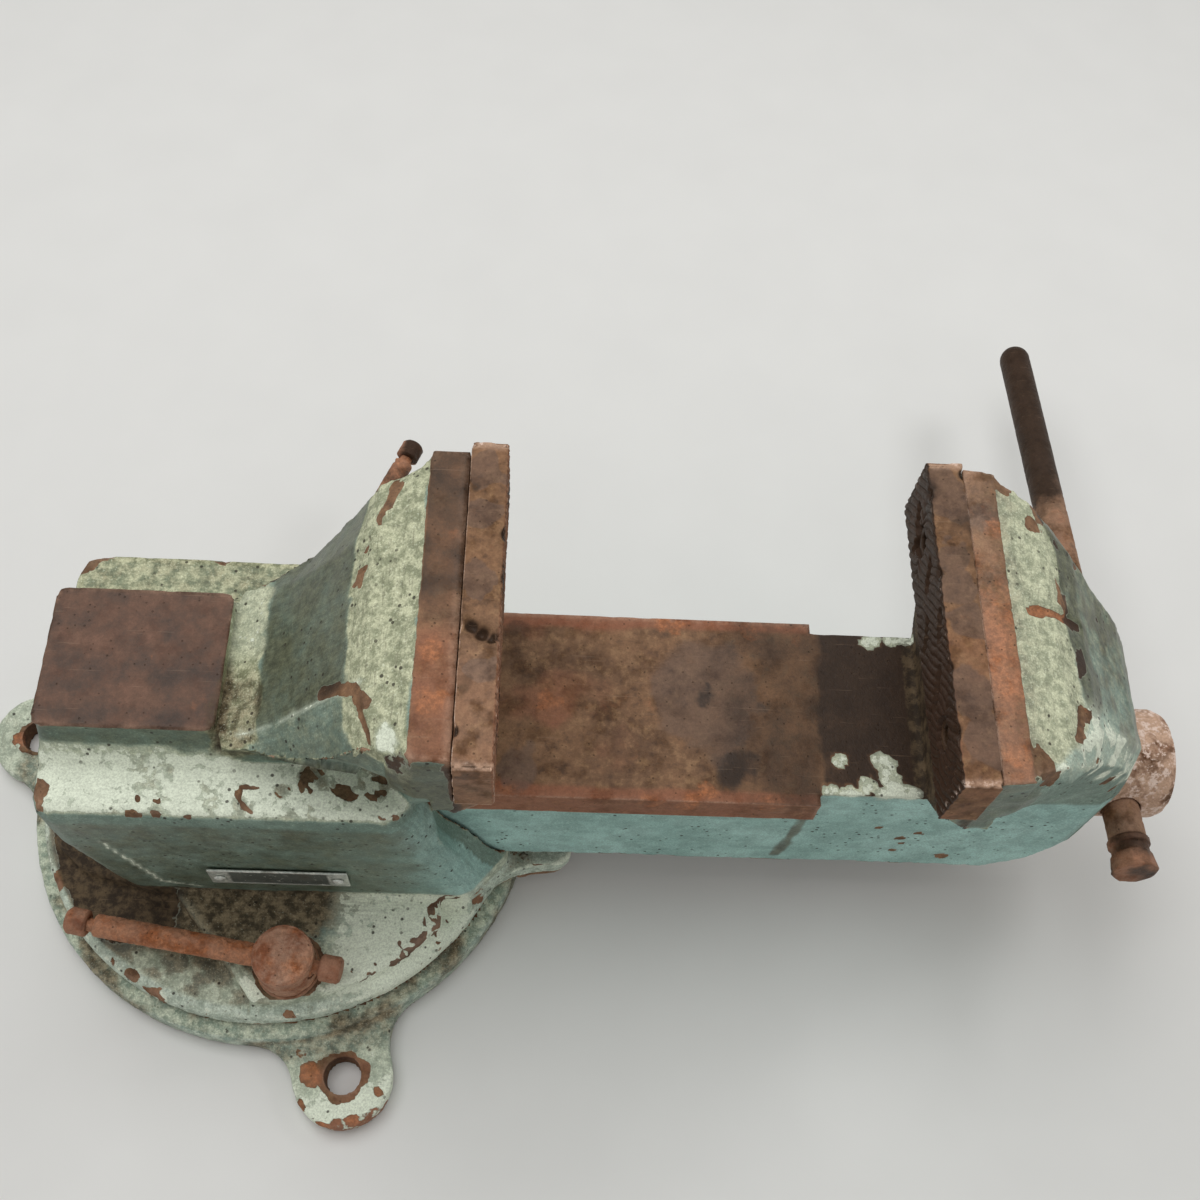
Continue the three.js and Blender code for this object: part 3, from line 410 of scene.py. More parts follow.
def casting(name, node, cell, soften, describe, melt=None):
    """A dense skin with its wear. `describe` takes points, normals, outer edges and inner corners
    and gives machined, rough, chips and the looks that the material reads."""
    made = dense_skin(name, node, cell)
    mesh = made.data
    edges = edges_of(mesh)
    points = softened(points_of(mesh), edges, soften)
    if melt:
        share = melt(points)[:, None]
        points = points * (1 - share) + softened(points, edges, MELT_ROUNDS) * share
    set_points(mesh, points)
    outer, inner = edge_measure(points, normals_of(mesh), edges)
    normals = normals_of(mesh)
    machined, rough, chips, looks = describe(points, normals, outer, inner)
    waves = 0.55 * (1 - noise(points, 46, 1)) + 0.4 * (1 - layered(points, 11, 2))
    grain = 0.45 * (1 - layered(points, 4.6, 3, 2))
    inward = (waves + grain * rough) * (1 - machined) + 0.05 * machined * (1 - noise(points, 9, 4))
    worn_in = points - normals * (inward + chips)[:, None]
    worn_in[:, 2] = np.maximum(worn_in[:, 2], 0)
    set_points(mesh, worn_in)
    set_looks(mesh, looks)
    return made


# %% [markdown]
# ### Vise body
# One casting: a round foot, a hollow torso with the anvil behind, and the fixed jaw. Painting its wear
# on by hand would stay right for one size only, so its chips, scrapes and stains are written as
# places, and the large worn areas as zones between the body's own faces. Some of these zones also
# paint light into the colour: darker paint on the neck's rear face and the flanks that is partly
# painted shade, paler paint on the near facet and the slope before the anvil, and painted highlights
# along edges and the neck's crease.

# %% Vise body: faces and marks
ANVIL_TOP = 181.0
SHOULDER_TOP = 158.6
STRIP_TOP = 250.3
FIXED_SEAT = 102.1
BODY_HALF_WIDTH = 66.8
PLATE_TOP = 30.0
PAD_TOP = 39.0
PLATE_RADIUS = 128.0
TOE_START = 112.0
LOCK_PLACES = [(16.0, -103.47), (16.0, 103.47)]
BODY_CHIPS = [
    (-41.5, -65.8, 156.1, 4.2), (-31.6, -65.6, 156.5, 3.7), (-17.6, -66.1, 155.4, 2.8),
    (-84, -56, 158, 6), (-84, -63, 157, 5), (-110, -59, 28, 9), (-92, -72, 30, 10),
    (-54.3, -115.8, 26.2, 6), (-65, -107, 29, 6), (-8.6, -130.3, 18, 5), (40, 64, 158, 4),
    (-20, 65, 158, 4), (-84, 61, 158, 9), (-77, 66, 157, 6), (28, -112, 37, 3), (16, -124, 28, 4),
    (-120, 40, 28, 8), (-96, 70, 28, 7), (60, 108, 28, 8), (-78, 30, 100, 6), (-88, -20, 70, 8),
    (-40, -58.5, 158.6, 2.4), (-31.6, -58.9, 158.6, 2.2), (74.7, -63.5, 155.5, 3),
]
NECK_CHIPS = [
    [(44, -30, 217), (52, -32, 226), (60, -36, 236), (66, -44, 241)],
    [(60, -40, 236), (66, -55, 238), (72, -66, 236)],
]
PAD_SCRAPE = [(50, -108, 37), (66, -99, 38), (78, -89, 38), (88, -77, 38), (96, -64, 37)]
PAD_SCRAPE_PALE = [(36, -114, 38), (56, -99, 39), (70, -88, 39), (88, -71, 39)]
NECK_CREASE = [(4, -34, 178), (30, -34, 201), (44, -34, 218), (62, -34, 240)]
BAND_BROWN = [(71, 62, 241), (67, 48, 241), (63, 36, 240), (59, 23, 236), (56, 12, 232)]
SHOULDER_MARK = [
    (11.2, -51.7, 158.6), (4, -50.6, 158.6), (3.5, -55, 158.6), (6.3, -59.9, 158.6), (10, -63, 158.5),
]
FLANK_SCRATCH = [(-65, -65.8, 119), (-58, -65.8, 88), (-50, -65.8, 56), (-32, -65.8, 47)]
BODY_SCRAPED = [(80, -84, 37, 8), (91, -79, 30.5, 8), (72, -95, 36, 7), (62, -102, 37, 5), (86, -86, 31, 7)]
BODY_WHITE = [
    (48, -53, 158.6, 6), (60, -54, 158, 6), (38, -55, 158.6, 5), (70, -59, 156, 6),
    (52, -46, 158.6, 5), (62, -48, 158.6, 4), (34, -50, 158.6, 5), (75.8, -61.4, 244.2, 7),
    (-2.3, -114.7, 38.6, 8), (86, -74, 36, 6), (76, -90, 34, 4), (-50, -117, 27, 6),
]
BODY_SMEARS = [(36, -47, 158.6, 9), (52, -50, 158.6, 10), (64, -48, 158.6, 9), (22, -52, 158.6, 5)]
BODY_DARK = [(86.1, -74, 223.1, 8), (-117, -43, 29.6, 12), (9, -55, 158.6, 2.2)]
BODY_ORANGE = [
    (91, -24, 250, 8), (92, -48, 250, 9), (98, -44, 250, 4), (-44.5, 6.2, 181, 2.5), (-38, 0, 181, 1.8),
    (-20, 20, 181, 2), (-14, -22, 181, 6), (-60, -20, 181, 2), (98, 30, 250, 5), (60, -47, 158, 4),
]
print("Marks on the body:", sum(map(len, (BODY_CHIPS, BODY_WHITE, BODY_SMEARS, BODY_DARK, BODY_ORANGE))))


# %% Vise body
def describe_body(points, normals, outer, inner):
    """What `casting` asks for, worked out for the body."""
    loose = wandered(points, 4.0, 15, 300)
    x, y, z = points.T
    up = normals[:, 2]
    reach = np.hypot(x, y)
    patchy = layered(points, 30, 21)

    # Machined faces
    anvil_top = zone(points, x=(-90, 2), y=(-37, 37), z=(ANVIL_TOP - 0.9, None), soft=0.5)
    strip = zone(points, x=(FIXED_SEAT - 17.5, None), z=(STRIP_TOP - 1.2, None), soft=0.8)
    seat = zone(points, x=(FIXED_SEAT - 0.7, FIXED_SEAT + 12), z=(195, 249.5), soft=0.6)
    tunnel = zone(points, y=(-49, 49), z=(46, 149.4), soft=0.6) * (np.abs(normals[:, 0]) < 0.6)
    spot_face = sum(1 - smoothstep(np.hypot(x - px, y - py), 17, 19) for px, py in LOCK_PLACES)
    spot_face = spot_face * (z > PAD_TOP - 2)
    machined = np.clip(anvil_top + strip + seat + tunnel + (z < 18.8), 0, 1)

    # Areas of the torso and the jaw
    shoulder = zone(loose, z=(SHOULDER_TOP - 8, SHOULDER_TOP + 9), soft=6) * smoothstep(up, 0.2, 0.7)
    shoulder = shoulder * (np.abs(y) > 28)
    near_top, far_top = shoulder * (y < 0), shoulder * (y > 0)
    slope = zone(loose, x=(-9, 13), y=(-40, 40), z=(165, 184), soft=3)
    band = zone(loose, x=(54, FIXED_SEAT - 17.5), z=(228.5, None), soft=3)
    neck = zone(points, x=(10, 75), z=(176, 244), soft=6) * (1 - band)
    behind = zone(points, x=(None, 20), z=(160, 180.5), soft=2) * (up < 0.6)
    flank = zone(points, z=(42, 146), soft=8) * (np.abs(y) > 50)
    jaw_end = zone(points, x=(74, FIXED_SEAT + 4), z=(188, 248), soft=4) * (np.abs(y) > 67)
    # The neck's near facet, painted lighter below (more chalk, less oil) as painted light where it turns to
    # the light.
    facet = zone(points, x=(4, 74), y=(None, -33), z=(166, 238), soft=5) * (normals[:, 0] < -0.2)

    # Areas of the foot
    foot = zone(points, z=(None, PAD_TOP + 4), soft=4) * smoothstep(reach, 55, 70)
    dirt = foot * (1 - smoothstep(reach + 0.2 * x, 80, 110))
    rear_pad = foot * smoothstep(-loose[:, 0], 34, 56) * (1 - smoothstep(reach, 119, 126))
    rear_pad = rear_pad * (1 - smoothstep(-loose[:, 1], 78, 100))
    rim = foot * smoothstep(reach, 120.5, 123) * (x < TOE_START)
    toe = zone(loose, x=(TOE_START, None), z=(None, 34), soft=3)
    toe_top = toe * smoothstep(up, 0.6, 0.9) * (1 - smoothstep(x, 134, 142))
    grimy = foot * smoothstep(reach, 92, 100) * (1 - smoothstep(reach, 118, 123)) * (1 - smoothstep(x, 4, 34))
    grimy = grimy * (y < -20) * patches(points, 9, 35, 0.38, 0.58)

    # Chips, scrapes and lines
    chip_spots = spots(points, BODY_CHIPS)
    smears = spots(points, BODY_SMEARS, 120)
    worn_lines = np.maximum(stroke(points, NECK_CHIPS[0], 4.5, 5), stroke(points, NECK_CHIPS[1], 2.8, 6))
    flank_line = stroke(points, FLANK_SCRATCH, 1.6, 8)
    white_line = stroke(points, PAD_SCRAPE_PALE, 7) * patches(points, 3.5, 29, 0.36, 0.56)
    flaky = patches(points, 4.5, 28, 0.42, 0.56)
    scraped = np.maximum(spots(points, BODY_SCRAPED, 10), stroke(points, PAD_SCRAPE, 7, 9)) * flaky
    # A thin pale line along the neck's crease, a painted highlight.
    crease = stroke(points, NECK_CREASE, 2.4, 11)
    speckled = patches(points, 4.5, 33, 0.5, 0.68) * patches(points, 20, 34, 0.36, 0.6)
    chipped = outer * patches(points, 9, 20, 0.42, 0.68)
    near_end = smoothstep(-wandered(points, 9, 12, 310)[:, 1], -6, 22)

    bare = np.maximum.reduce([
        machined, chipped * 0.85, spot_face, 0.6 * rim * patches(points, 12, 22, 0.55, 0.85),
        0.95 * chip_spots, 0.9 * scraped, 0.85 * smears * flaky, 0.9 * stroke(points, SHOULDER_MARK, 1.7, 12),
        0.45 * dirt * smoothstep(patchy, 0.4, 0.8), 0.4 * toe_top, 0.95 * worn_lines,
        0.6 * jaw_end * smoothstep(patchy, 0.45, 0.75), 0.92 * rear_pad,
        0.85 * stroke(points, BAND_BROWN, 5, 16) * patches(points, 8, 32, 0.4, 0.55)])
    bare = bare * (1 - 0.9 * white_line) * (1 - flank_line)
    # Chalky paint on the faces that look up; the slope before the anvil and the neck's near facet are made
    # paler here as painted light.
    chalk = (
        0.95 * shoulder * np.where(y < 0, 1, 0.6) + 0.15 * facet + band + 0.9 * slope
        + 0.85 * foot * (1 - rear_pad) * smoothstep(reach, 84, 106) + 0.1 + 0.5 * outer)
    # Oil and grease in the tunnel, on the rear pad and in stains; the darker paint on the neck's rear face
    # and the flanks is partly dirt and partly painted shade, and the near facet is lightened as painted
    # light.
    oil = (
        0.72 * neck + 0.5 * behind + 0.5 * flank + 0.35 * inner * (1 - foot) + 0.9 * tunnel - 0.4 * shoulder
        + 0.9 * spots(points, BODY_DARK, 50) - 0.4 * smoothstep(x, 60, 116) * (z < 150) + 1.4 * rear_pad
        + 0.3 * grimy + 0.4 * far_top + 0.5 * chip_spots * (z > 150) - 0.3 * facet + 0.75 * jaw_end)
    oily_faces = (0.54 + 0.1 * patches(points, 22, 27, 0.4, 0.62)) * anvil_top
    oily_faces = oily_faces + (0.66 - 0.66 * near_end) * strip
    soil = (
        0.8 * dirt + 0.35 * inner * (1 - foot) + 0.2 * flank * smoothstep(patchy, 0.5, 0.8) + 0.3 * toe_top
        + 0.3 * far_top + 0.5 * near_top * speckled + 0.62 * grimy + 0.5 * slope * smoothstep(-y, -6, 12)
        + 0.15 * foot * (1 - rim) + 0.6 * smears + 1.6 * rear_pad)
    orange = (
        0.6 * spots(points, BODY_ORANGE, 30) + 0.14 * strip * near_end
        + 0.24 * patches(points, 16, 23, 0.55, 0.85) * (1 - anvil_top) + 0.2 * chip_spots)
    red = 0.6 * anvil_top + 0.35 * strip * near_end + 0.2 * strip + 0.3 * rim
    plum = 1.0 * anvil_top + 0.85 * scraped + 0.25 * strip * smoothstep(patchy, 0.45, 0.7)
    blue = (
        0.6 * rim + 0.55 * foot * (1 - dirt) + 0.45 * near_top + 0.8 * toe * (1 - 0.5 * toe_top)
        + 0.8 * flank * smoothstep(x, 50, 105))
    # Lifted and scraped paint, with painted highlights along the outer edges of the foot, its rim and toe,
    # along the neck's crease and on the slope before the anvil.
    white = (
        0.9 * white_line + 0.85 * spots(points, BODY_WHITE, 70)
        + 0.95 * near_top * (1 - 0.6 * smears) * (1 - 0.5 * speckled) + 0.4 * foot * outer + 0.15 * band
        + 0.6 * crease + 0.85 * foot * zone(points, x=(36, 104), y=(-114, -56), soft=14) + 0.9 * flank_line
        + 0.45 * slope * smoothstep(y, -4, 12) + 0.3 * foot * smoothstep(reach, 96, 112) * (1 - rear_pad)
        + 0.3 * rim * outer + 0.5 * outer * toe)
    chips = outer * patches(points, 6, 24, 0.5, 0.75) * (0.9 - 0.6 * machined)
    chips = chips + 0.8 * chip_spots * (1 - machined)
    chips = chips + 0.5 * band * patches(points, 5, 26, 0.62, 0.75) + 0.7 * scraped + 0.8 * worn_lines
    chips = chips + facet * np.clip(0.14 * (-35 - y), 0, 3.5)
    rough = np.clip(0.5 + 1.2 * band + 0.6 * shoulder + 0.4 * foot - 0.3 * neck + 0.8 * slope, 0, 2)
    # Outer edges get a rubbed colour with painted glints where the rust shows.
    return machined, rough, chips, dict(
        bare=bare, chalk=chalk, oil=np.maximum(oil, oily_faces), soil=soil, orange=orange, red=red,
        plum=plum, blue=blue, white=white, polish=0.1 + 0.35 * outer)


def foot_melt(points):
    """1 on the foot, fading out up the torso's foot."""
    return 1 - smoothstep(points[:, 2], 44, 54)


vise_body = casting("vise_body_casting", "vise_body", 2.0, 3, describe_body, foot_melt)
stands_for(vise_body, "body", "painted_casting", "vise_body")

# %% [markdown]
# ### Sliding jaw
# The beam runs through the body's tunnel, and its top and rails are machined where they slide. Past
# them the old paint has come off in patches. The nose rises to the moving jaw, chalky above; below,
# its slope is darkened by oil and by painted shade, with paler paint and painted highlights on its
# near side and edges. It is made and marked in the same way as the body.

# %% Sliding jaw: faces and marks
BEAM_TOP = 147.7
RAIL_BOTTOM = 128.1
RAIL_END = 269.0
MOVING_SEAT = 319.1
JAW_PAINT_LEFT = [
    (299, -24, 147.7, 7), (302, -33, 147.7, 8), (279, -24.5, 147.7, 4.5), (274, -41, 147.7, 5),
    (283, -40.5, 147.7, 6), (292, -37, 147.7, 6), (300, -42, 147.7, 7), (310, -41, 147.7, 8),
    (299, 40, 147.7, 6), (309, 40.5, 147.7, 6), (318, 41, 147.7, 6), (302, -28, 147.7, 6),
]
JAW_CHIPS = [
    (358.2, -8.5, 235.8, 3.5), (348.3, 50.5, 244, 6), (352, 46, 240, 4), (391.5, -42.8, 180.4, 6),
    (402, -36, 160, 7), (367.8, -50.4, 221.9, 5), (333, -72, 236, 8), (330, -70, 222, 7),
    (362, -18.5, 232, 5), (322.4, -42, 86.9, 3.2), (329.3, -42, 95.5, 2.8), (322.6, -42, 67.4, 3.0),
    (308, -42, 101, 2.8), (324, -42, 79, 2.6), (337, 68, 250, 7), (339, -66, 248, 7),
    (343, -68, 240, 6), (336, -61, 250, 5), (356, 62, 236, 7), (372, 40, 222, 7), (386, 20, 205, 7),
    (350, -42, 60, 5),
]
JAW_WHITE = [
    (408, -33, 170, 8), (396, -41, 182, 6), (384, -47, 196, 6), (372, -52, 215, 6), (300, -44, 147, 6),
    (285, -43, 147, 5), (312, -44, 147, 6), (376, 52, 214, 6), (398, 30, 188, 7),
]
JAW_ORANGE = [
    (195.5, 44.3, 147.7, 7), (202, 42, 147.7, 5), (237.6, 41.7, 147.7, 7), (262, 38, 147.7, 5),
    (214.8, -41.5, 147.7, 8), (206.8, -47.5, 143, 9), (190, -47.5, 144, 8), (245, -47.5, 145, 9),
    (140, 1.7, 147.7, 7), (146, 1, 147.7, 4), (330, -30, 250, 8), (327, -62, 250, 6), (330, 44, 250, 6),
    (344.6, 9.6, 245, 3), (352, 11.6, 240, 3), (359.6, 13.6, 235, 3), (367, 14, 228, 3),
]
JAW_DARK = [
    (125, 38, 147.7, 8), (124, 24, 147.7, 7), (229, -32, 147.7, 12),
    (217, 6, 147.7, 5), (348, 50, 244, 5),
]
JAW_BAND_END = [
    (-75, 334), (-66, 339), (-54, 355.6), (-37, 363), (-9, 365), (12, 358.3), (42, 361.3), (62, 349.8),
    (75, 340),
]
JAW_STREAK = [
    (352, 58, 243), (362, 40, 237), (360, 14, 239), (367, -8, 233), (366, -30, 234), (358, -52, 240),
]
JAW_GASH = [(342, 5.9, 248.2), (349.7, 7.1, 245.6), (358, 7.6, 240.7), (368.5, 7.1, 232.2)]
JAW_DRIP = [(268, -42, 112), (266, -42, 84), (263, -42, 56)]
print("Marks on the jaw:", sum(map(len, (JAW_PAINT_LEFT, JAW_CHIPS, JAW_WHITE, JAW_ORANGE, JAW_DARK))))


# %% Sliding jaw
def describe_jaw(points, normals, outer, inner):
    """What `casting` asks for, worked out for the sliding jaw."""
    loose = wandered(points, 3.5, 14, 330)
    x, y, z = points.T
    up = normals[:, 2]
    patchy = layered(points, 26, 51)

    # Machined faces
    rails = zone(points, x=(None, RAIL_END + 0.6), z=(RAIL_BOTTOM - 0.6, BEAM_TOP + 2), soft=0.5)
    beam_top = zone(points, x=(None, MOVING_SEAT), z=(BEAM_TOP - 0.8, BEAM_TOP + 2), soft=0.5)
    beam_top = beam_top * (up > 0.4)
    strip = zone(points, x=(None, MOVING_SEAT + 14), z=(STRIP_TOP - 1.2, None), soft=0.8)
    seat = zone(points, x=(MOVING_SEAT - 12, MOVING_SEAT + 0.7), z=(195, 249.5), soft=0.6)
    channel = zone(points, x=(None, 388), y=(-29.6, 29.6), z=(46, 130.2), soft=0.6)
    machined = np.clip(rails + beam_top + strip + seat + channel, 0, 1)

    # Areas of the beam and the nose
    beyond = zone(loose, x=(RAIL_END + 3, MOVING_SEAT + 4), z=(BEAM_TOP - 4, BEAM_TOP + 4), soft=3)
    beyond = beyond * (up > 0.4)
    remnants = spots(points, JAW_PAINT_LEFT, 7) * zone(
        points, x=(RAIL_END + 1, None), z=(BEAM_TOP - 2, BEAM_TOP + 3), soft=1)
    # The face of the jaw below the moving plate, made dark with oil and soil, partly as painted shadow under
    # the plate.
    under_plate = zone(points, x=(MOVING_SEAT - 5, MOVING_SEAT + 0.5), z=(BEAM_TOP - 3, 214), soft=1)
    band = zone(loose, x=(MOVING_SEAT + 8, None), z=(206, None), soft=3) * smoothstep(up, 0.1, 0.4)
    band = band * (1 - smoothstep(loose[:, 0] - np.interp(y, *np.array(JAW_BAND_END).T), -1.5, 2.5))
    slope = zone(points, x=(330, None), z=(120, 250), soft=4) * smoothstep(up, 0.1, 0.4) * (1 - band)
    side = zone(points, z=(None, BEAM_TOP - 2), soft=3) * (np.abs(y) > 38) * (np.abs(normals[:, 1]) > 0.5)
    end_of_strip = zone(points, x=(MOVING_SEAT - 12, MOVING_SEAT + 30), z=(200, 249), soft=3)
    end_of_strip = end_of_strip * (np.abs(y) > 70)
    rail_edge = beam_top * smoothstep(np.abs(y), 39, 44) * (x < RAIL_END)
    near_end = smoothstep(-wandered(points, 9, 12, 340)[:, 1], -22, 12)
    far_side = smoothstep(y, -20, 30)

    # Chips, stains and lines
    chip_spots = spots(points, JAW_CHIPS, 60)
    streak, gash = stroke(points, JAW_STREAK, 6, 14), stroke(points, JAW_GASH, 3.2, 15)
    oval = spot(points, (217, 5, BEAM_TOP), 44, 90)
    drip = stroke(points, JAW_DRIP, 4)
    chipped = outer * patches(points, 8, 50, 0.42, 0.68)

    bare = np.maximum.reduce([
        machined, chipped * 0.85, 0.95 * chip_spots, 0.9 * beyond, under_plate, gash,
        0.75 * streak * patches(points, 9, 62, 0.4, 0.6)])
    bare = bare * (1 - remnants) * (1 - 0.75 * end_of_strip)
    chalk = band + 0.1 + 0.9 * remnants + 0.3 * slope + 0.45 * outer
    # Oil in the channel, on the beam and in drips and stains; the darkening over most of the nose's slope and
    # under the plate is partly painted shade.
    oil = (
        slope * (0.12 + 0.75 * smoothstep(y, -46, -22)) * (0.55 + 0.6 * patches(points, 18, 56, 0.4, 0.62))
        + 0.62 * beyond * (0.5 + 0.5 * smoothstep(x, 278, 306)) + 0.3 * inner + 0.9 * channel
        + 1.5 * under_plate + 0.5 * end_of_strip + 0.4 * strip * patches(points, 13, 63, 0.48, 0.66)
        + 0.5 * spots(wandered(points, 4, 9, 350), JAW_DARK, 100) + 0.75 * drip
        + 0.6 * beam_top * smoothstep(x, 180, 250) - 0.6 * band - remnants
        + 0.25 * band * far_side * smoothstep(patchy, 0.45, 0.7))
    soil = (
        0.5 * inner + 0.3 * slope * smoothstep(patchy, 0.45, 0.8) + 0.7 * under_plate
        + 0.45 * band * (1 - smoothstep(loose[:, 0], 332, 352)))
    orange = (
        (0.34 + 0.34 * np.exp(-(((y + 4) / 34) ** 2))) * strip + 0.12 * strip * near_end
        + 0.42 * rail_edge * patches(points, 13, 53, 0.5, 0.75) + 0.65 * spots(points, JAW_ORANGE, 70) + gash
        + 0.4 * streak + 0.26 * patches(points, 16, 54, 0.55, 0.85)
        + 0.2 * rails * patches(points, 18, 57, 0.45, 0.7) * (x < 230))
    red = (
        0.35 * strip * near_end + 0.15 * strip + 0.75 * rail_edge + 0.6 * rails * (up < 0.4)
        + 0.45 * beam_top * (1 - smoothstep(x, 150, 230)) * patches(points, 24, 58, 0.35, 0.65))
    plum = (
        0.8 * spot(points, (129, -36, BEAM_TOP), 14, 93) + 0.75 * oval * smoothstep(patchy, 0.25, 0.6)
        + 0.7 * spot(points, (325, 50, 250), 11, 91) + 0.5 * spot(points, (326, 20, 250), 9, 92))
    blue = 0.95 * side + 0.5 * slope * (1 - far_side)
    # Paint remnants and lifted paint, with painted highlights along the nose's outer edges and paler paint on
    # its near side, partly as painted light.
    white = (
        0.75 * remnants + 0.85 * spots(points, JAW_WHITE, 110) + 0.28 * band + 0.4 * slope * outer
        + slope * (1 - smoothstep(y, -40, -20)) * (0.45 + 0.5 * patches(points, 9, 59, 0.5, 0.7)))
    chips = outer * patches(points, 6, 55, 0.52, 0.78) * (0.9 - 0.65 * machined)
    chips = chips + 0.8 * chip_spots * (1 - machined)
    chips = chips + 0.5 * band * patches(points, 5, 61, 0.62, 0.75) + 1.3 * gash
    rough = np.clip(0.45 + 1.2 * band + 0.7 * slope + 0.35 * side, 0, 2)
    # Outer edges and the top strip get a rubbed colour with painted glints.
    return machined, rough, chips, dict(
        bare=bare, chalk=chalk, oil=oil, soil=soil, orange=orange, red=red, plum=plum, blue=blue,
        white=white, polish=0.1 + 0.35 * outer + 0.12 * strip)


sliding_jaw = casting("sliding_jaw_casting", "sliding_jaw", 1.9, 2, describe_jaw)
stands_for(sliding_jaw, "slide", "painted_casting", "sliding_jaw")

# %% [markdown]
# ### Base plate
# A round plate with three lugs that bolt to the bench. The body turns on it, so only its rim and its
# lugs show, with grime packed along the rim and bare rust round the bolt holes.

# %% Base plate
BASE_RADIUS = 136.0
BASE_HEIGHT = 18.0
LUGS = [(157.0, -73.5), (144.5, 53.0), (144.5, 168.7)]
BASE_ORANGE = [
    (28, -148, 13, 7), (30, -154, 13, 5), (36, -176, 11, 6), (52, -172, 11, 5), (63, -158, 12, 4),
    (24, -166, 12, 5), (-150, 26, 12, 6),
]


def describe_base(points, normals, outer, inner):
    """What `casting` asks for, worked out for the base plate."""
    x, y, z = points.T
    reach = np.hypot(x, y)
    grain = layered(points, 7, 80)
    hidden = zone(points, z=(BASE_HEIGHT - 0.8, None), soft=0.4) * (reach < PLATE_RADIUS - 1)
    under = (z < 0.6) * 1.0
    slot = (reach < PLATE_RADIUS - 4) * (z > 1) * 1.0
    machined = np.clip(hidden + under + slot, 0, 1)
    holes = [(r * math.cos(math.radians(a)), r * math.sin(math.radians(a))) for r, a in LUGS]
    from_hole = np.min([np.hypot(x - hx, y - hy) for hx, hy in holes], axis=0)
    on_lug = smoothstep(reach, BASE_RADIUS - 2, BASE_RADIUS + 5)
    by_ring = on_lug * (1 - smoothstep(reach + 8 * (layered(points, 12, 84) - 0.5), 146, 154))
    hole_rim = 1 - smoothstep(from_hole + 5 * (layered(points, 6, 85) - 0.5), 11, 14.5)
    tip = smoothstep(reach + 9 * (grain - 0.5), 173, 177) * (y < 0)
    orange_spots = spots(points, BASE_ORANGE, 90)

    bare = np.maximum.reduce([
        machined, outer * smoothstep(grain, 0.42, 0.68) * 0.85, 0.9 * hole_rim, 0.55 * tip,
        0.9 * orange_spots, 0.5 * by_ring * smoothstep(grain, 0.5, 0.8)])
    chalk = 0.7 + 0.4 * smoothstep(reach, 146, 156) - 0.1 * by_ring
    soil = (
        0.3 * inner + 0.3 * by_ring + 0.25 * hole_rim
        + 0.5 * (1 - on_lug) * patches(points, 22, 83, 0.3, 0.7) + 0.18)
    orange = 0.8 * orange_spots + 0.35 * tip + 0.35 * hole_rim
    red = 0.6 * tip + 0.4 * hole_rim + 0.3 * orange_spots
    oil = 0.2 * inner + 0.8 * slot + 0.5 * under + 0.35 * (z < 12) * (1 - on_lug)
    blue = 0.55 + 0.3 * smoothstep(-normals[:, 2], -0.75, -0.4) * (z > 1)
    # Pale paint on the lugs and their tips, and painted highlights along the outer edges.
    white = (
        0.4 * outer * (1 - under) + 0.4 * on_lug * (1 - by_ring)
        + 0.6 * smoothstep(reach, 158, 172) * (y < 0))
    chips = outer * patches(points, 5, 82, 0.5, 0.75) * 0.8 * (1 - under)
    return machined, 0.9 + 0.4 * on_lug, chips, dict(
        bare=bare, chalk=chalk, oil=oil, soil=soil, orange=orange, red=red, plum=0.2 * tip, blue=blue,
        white=white, polish=0.1 + 0.3 * outer)


base_casting = casting("base_casting", "base_plate", 1.7, 3, describe_base)
stands_for(base_casting, "base", "painted_casting", "base_plate")

# %% [markdown]
# ### Crumbs on the toe
# Old grease and filings lie in crumbs on the flat toe under the beam. A bump in the material would
# look flat from the side, so each crumb is a small ball,
# r*(cos(a)*sin(b), sin(a)*sin(b), 0.6*cos(b)), whose radius r noise makes uneven.

# %% Crumbs
CRUMB_COUNT, CRUMB_RINGS, CRUMB_SIDES = 320, 5, 6


def crumbs(name, chance):
    """All the crumbs as one mesh, lying at the places that `chance` draws on the toe's top."""
    b = np.linspace(0, math.pi, CRUMB_RINGS + 2)[1:-1]
    a = np.linspace(0, 2 * math.pi, CRUMB_SIDES, endpoint=False)
    grid_b, grid_a = np.meshgrid(b, a, indexing="ij")
    flat = np.sin(grid_b)
    ball = np.stack([np.cos(grid_a) * flat, np.sin(grid_a) * flat, 0.6 * np.cos(grid_b)], -1)
    one, quads, tris = tube(ball)
    place = np.stack([
        TOE_START + 1 + 25 * chance.random(CRUMB_COUNT) ** 1.3,
        chance.uniform(-41, 41, CRUMB_COUNT), np.full(CRUMB_COUNT, PLATE_TOP - 0.4)], 1)
    radius = 0.6 + 1.7 * chance.random(CRUMB_COUNT) ** 2.2
    points = place[:, None] + one[None] * radius[:, None, None]
    uneven = 0.6 + 0.8 * noise(points.reshape(-1, 3), 1.3, 400).reshape(points.shape[:2])
    points = place[:, None] + one[None] * (radius[:, None] * uneven)[..., None]
    shift = np.arange(CRUMB_COUNT)[:, None, None] * len(one)
    looks = dict(
        bare=0.45, chalk=0.1, oil=0.25, soil=0.9, orange=0.2, red=0.1, plum=0.0, blue=0.0, white=0.0,
        polish=0.1)
    made = object_from(name, points.reshape(-1, 3), quads[None] + shift, tris[None] + shift, looks)
    return faced_outwards(made)


stands_for(crumbs("toe_crumbs", np.random.default_rng(5)), "body", "painted_casting")

# %% [markdown]
# ## A block with an even grid on every side
# The jaw plates and the nameplate start as the outside of a box of lattice points. Rounding takes
# each point p to q + r*(p - q)/|p - q|, where q is p held inside the box shrunk by r.

